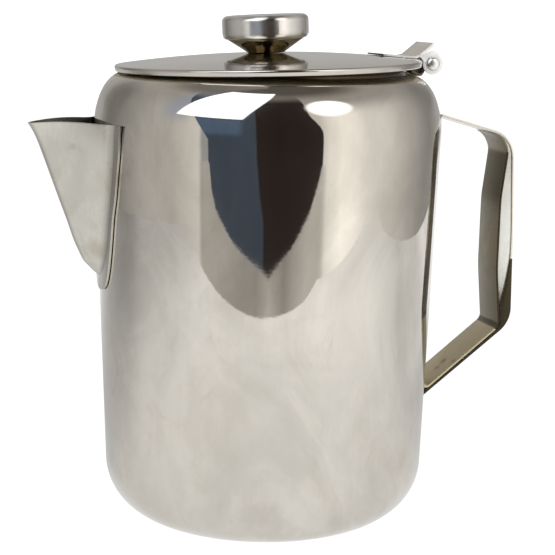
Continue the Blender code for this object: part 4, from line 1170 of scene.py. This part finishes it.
def build_world():
    """Plain white for the camera, and for the steel the room that it mirrors, by bearing and elevation."""
    world = bpy.data.worlds.new("room")
    world.use_nodes = True
    bpy.context.scene.world = world
    world.node_tree.nodes.clear()
    g = Graph(world, "Generated")

    def table(value, low, high, pairs):
        """A number that follows (key, value) pairs in straight lines."""
        least = min(number for _, number in pairs)
        spread = max(number for _, number in pairs) - least
        stops = [((key - low) / (high - low), ((number - least) / spread,) * 3) for key, number in pairs]
        return g.math("MULTIPLY_ADD", g.ramp(g.span(value, low, high, kind="LINEAR"), stops), spread, least)

    def past(value, edge, soft):
        """1 where a value is past an edge, softly; before() is 1 on the other side."""
        return g.span(g.math("SUBTRACT", value, edge), -soft, soft)

    def before(value, edge, soft):
        return g.fade(g.math("SUBTRACT", value, edge), -soft, soft)

    def squared(value, centre, reach):
        return g.math("POWER", g.math("DIVIDE", g.math("SUBTRACT", value, centre), reach), 2.0)

    turn = g.add("ShaderNodeVectorRotate", rotation_type="Z_AXIS")
    g.fill(turn, Vector=g.place, Angle=math.radians(-TURN))
    x, y, z = g.axes(turn.outputs[0])
    az = g.math("DEGREES", g.math("ARCTAN2", x, g.times(y, -1.0)))
    el = g.math("DEGREES", g.math("ARCSINE", z))

    tone = [(bearing / 360.0 + 0.5, (level * 1.02, level, level * 0.965)) for bearing, level in WALL_TONE]
    colour = g.ramp(g.math("MULTIPLY_ADD", az, 1.0 / 360.0, 0.5), tone)

    # the ceiling is pale at its edge, dark overhead, and less dark over the window
    overhead = g.times(g.span(el, 50.0, 75.0), g.fade(az, -75.0, -25.0))
    # the pale paper behind the pot, seen by the back of the steel
    behind = g.times(g.span(g.math("ABSOLUTE", az), 128.0, 150.0), g.fade(el, 2.0, 9.0))
    # bluish daylight beside the window, and the door's pale frame
    daylight = g.times(
        g.span(az, -84.0, -66.0), g.fade(az, -60.0, -50.0), g.span(el, 8.0, 26.0), g.fade(el, 50.0, 66.0), 0.8,
    )
    jamb = g.times(
        g.span(az, -45.0, -41.5), g.fade(az, -37.0, -36.0), g.span(el, -16.0, -12.0), g.fade(el, 12.0, 20.0),
    )
    for share, tint in (
        (g.span(el, 22.0, 46.0), (0.46, 0.44, 0.415)), (g.span(el, 48.0, 70.0), (0.13, 0.124, 0.11)),
        (overhead, (0.27, 0.265, 0.255)), (behind, (0.45, 0.44, 0.43)), (daylight, (0.40, 0.45, 0.56)),
        (jamb, (0.43, 0.44, 0.46)),
    ):
        colour = g.mix(share, colour, tint)

    # the dark doorway behind the camera: slate on the left, brown on the right
    left = g.math("MULTIPLY_ADD", g.math("MAXIMUM", el, 0.0), -0.6, -38.0)
    right = g.math("SUBTRACT", 36.0, g.times(g.span(el, 5.0, 30.0), 8.0))
    foot = table(az, -60.0, 60.0, DOOR_FOOT)
    dark = g.times(past(az, left, 0.4), before(az, right, 0.4), past(el, foot, 0.1), g.fade(el, 45.0, 66.0))
    brown = past(az, table(el, -20.0, 50.0, DOOR_SPLIT), 0.7)
    pale_slate = g.times(g.span(el, 2.0, 7.0), g.fade(el, 17.0, 22.0), g.fade(az, -20.0, -14.0))
    slate = g.mix(pale_slate, (0.066, 0.085, 0.12), (0.10, 0.15, 0.24))
    colour = g.mix(dark, colour, g.mix(brown, slate, (0.030, 0.021, 0.018)))

    # the slanted window on the left and the oval lamp glow on the right
    above = g.math("SUBTRACT", el, 20.0)
    start = g.math("MULTIPLY_ADD", above, 0.28, -64.0)
    side = g.math("MULTIPLY_ADD", above, 0.53, -17.0)
    window = g.times(past(az, start, 1.0), g.span(el, 19.8, 21.2), g.fade(el, 68.0, 71.0), before(az, side, 1.2))
    colour = g.mix(window, colour, (2.40, 2.48, 2.60))
    oval = g.math("SQRT", g.math("ADD", squared(az, 46.0, 18.5), squared(el, 36.0, 12.5)))
    oval = g.fade(oval, 0.75, 1.12)
    colour = g.mix(oval, colour, (2.40, 2.40, 2.40))

    # the grey carpet in front of the paper
    carpet = g.times(before(el, foot, 0.1), g.span(az, -46.0, -40.5), g.fade(az, 34.5, 39.5))
    pile = g.mix(g.fade(el, -24.0, -13.0), (0.50, 0.485, 0.46), (0.41, 0.39, 0.365))
    shade = g.add("ShaderNodeVectorMath", operation="SCALE")
    g.put(shade.inputs[0], pile)
    g.put(shade.inputs["Scale"], table(az, -60.0, 60.0, CARPET_FOLDS))
    colour = g.mix(carpet, colour, shade.outputs[0])
    colour = g.mix(g.fade(el, -24.0, -16.0), colour, shade.outputs[0])

    room = g.fill(g.add("ShaderNodeBackground"), Color=colour, Strength=1.0)
    plain = g.fill(g.add("ShaderNodeBackground"), Color=WHITE, Strength=1.3)
    joined = g.add("ShaderNodeMixShader")
    seen = g.add("ShaderNodeLightPath").outputs["Is Camera Ray"]
    for socket, value in zip(joined.inputs, (seen, room.outputs[0], plain.outputs[0])):
        g.put(socket, value)
    g.fill(g.add("ShaderNodeOutputWorld"), Surface=joined.outputs[0])


def build_light():
    """One wide soft light from above, kept out of the mirror images."""
    data = bpy.data.lights.new("soft_box", "AREA")
    lamp = bpy.data.objects.new("soft_box", change(data, shape="RECTANGLE", size=1.6, size_y=1.2, energy=9.0))
    lamp.location = (-0.35, -0.55, 1.25)
    lamp.rotation_euler = (Vector((0.0, 0.0, 0.1)) - lamp.location).to_track_quat("-Z", "Y").to_euler()
    lamp.visible_glossy = False
    bpy.context.scene.collection.objects.link(lamp)


def build_camera():
    """The photo's camera, as fitted: yaw, pitch and roll in radians, then its place in the turned frame."""
    yaw, pitch, roll = 0.0080, 0.1789, 0.0166
    place = Vector((0.0, -668.7, 225.6)) * MM
    forward = Vector((math.sin(yaw) * math.cos(pitch), math.cos(yaw) * math.cos(pitch), -math.sin(pitch)))
    right = Vector((math.cos(yaw), -math.sin(yaw), 0.0))
    up = right.cross(forward)
    across = math.cos(roll) * right + math.sin(roll) * up
    above = -math.sin(roll) * right + math.cos(roll) * up
    turn = Matrix.Rotation(math.radians(TURN), 4, "Z")
    axes = Matrix((across, above, -forward)).transposed().to_4x4()
    data = bpy.data.cameras.new("camera")
    change(data, lens=99.77, sensor_width=36.0, clip_start=0.01, clip_end=50.0)
    camera = bpy.data.objects.new("camera", data)
    camera.matrix_world = turn @ Matrix.Translation(place) @ axes
    bpy.context.scene.collection.objects.link(camera)
    bpy.context.scene.camera = camera


build_floor()
build_world()
build_light()
build_camera()
bpy.context.scene.view_settings.view_transform = "Standard"
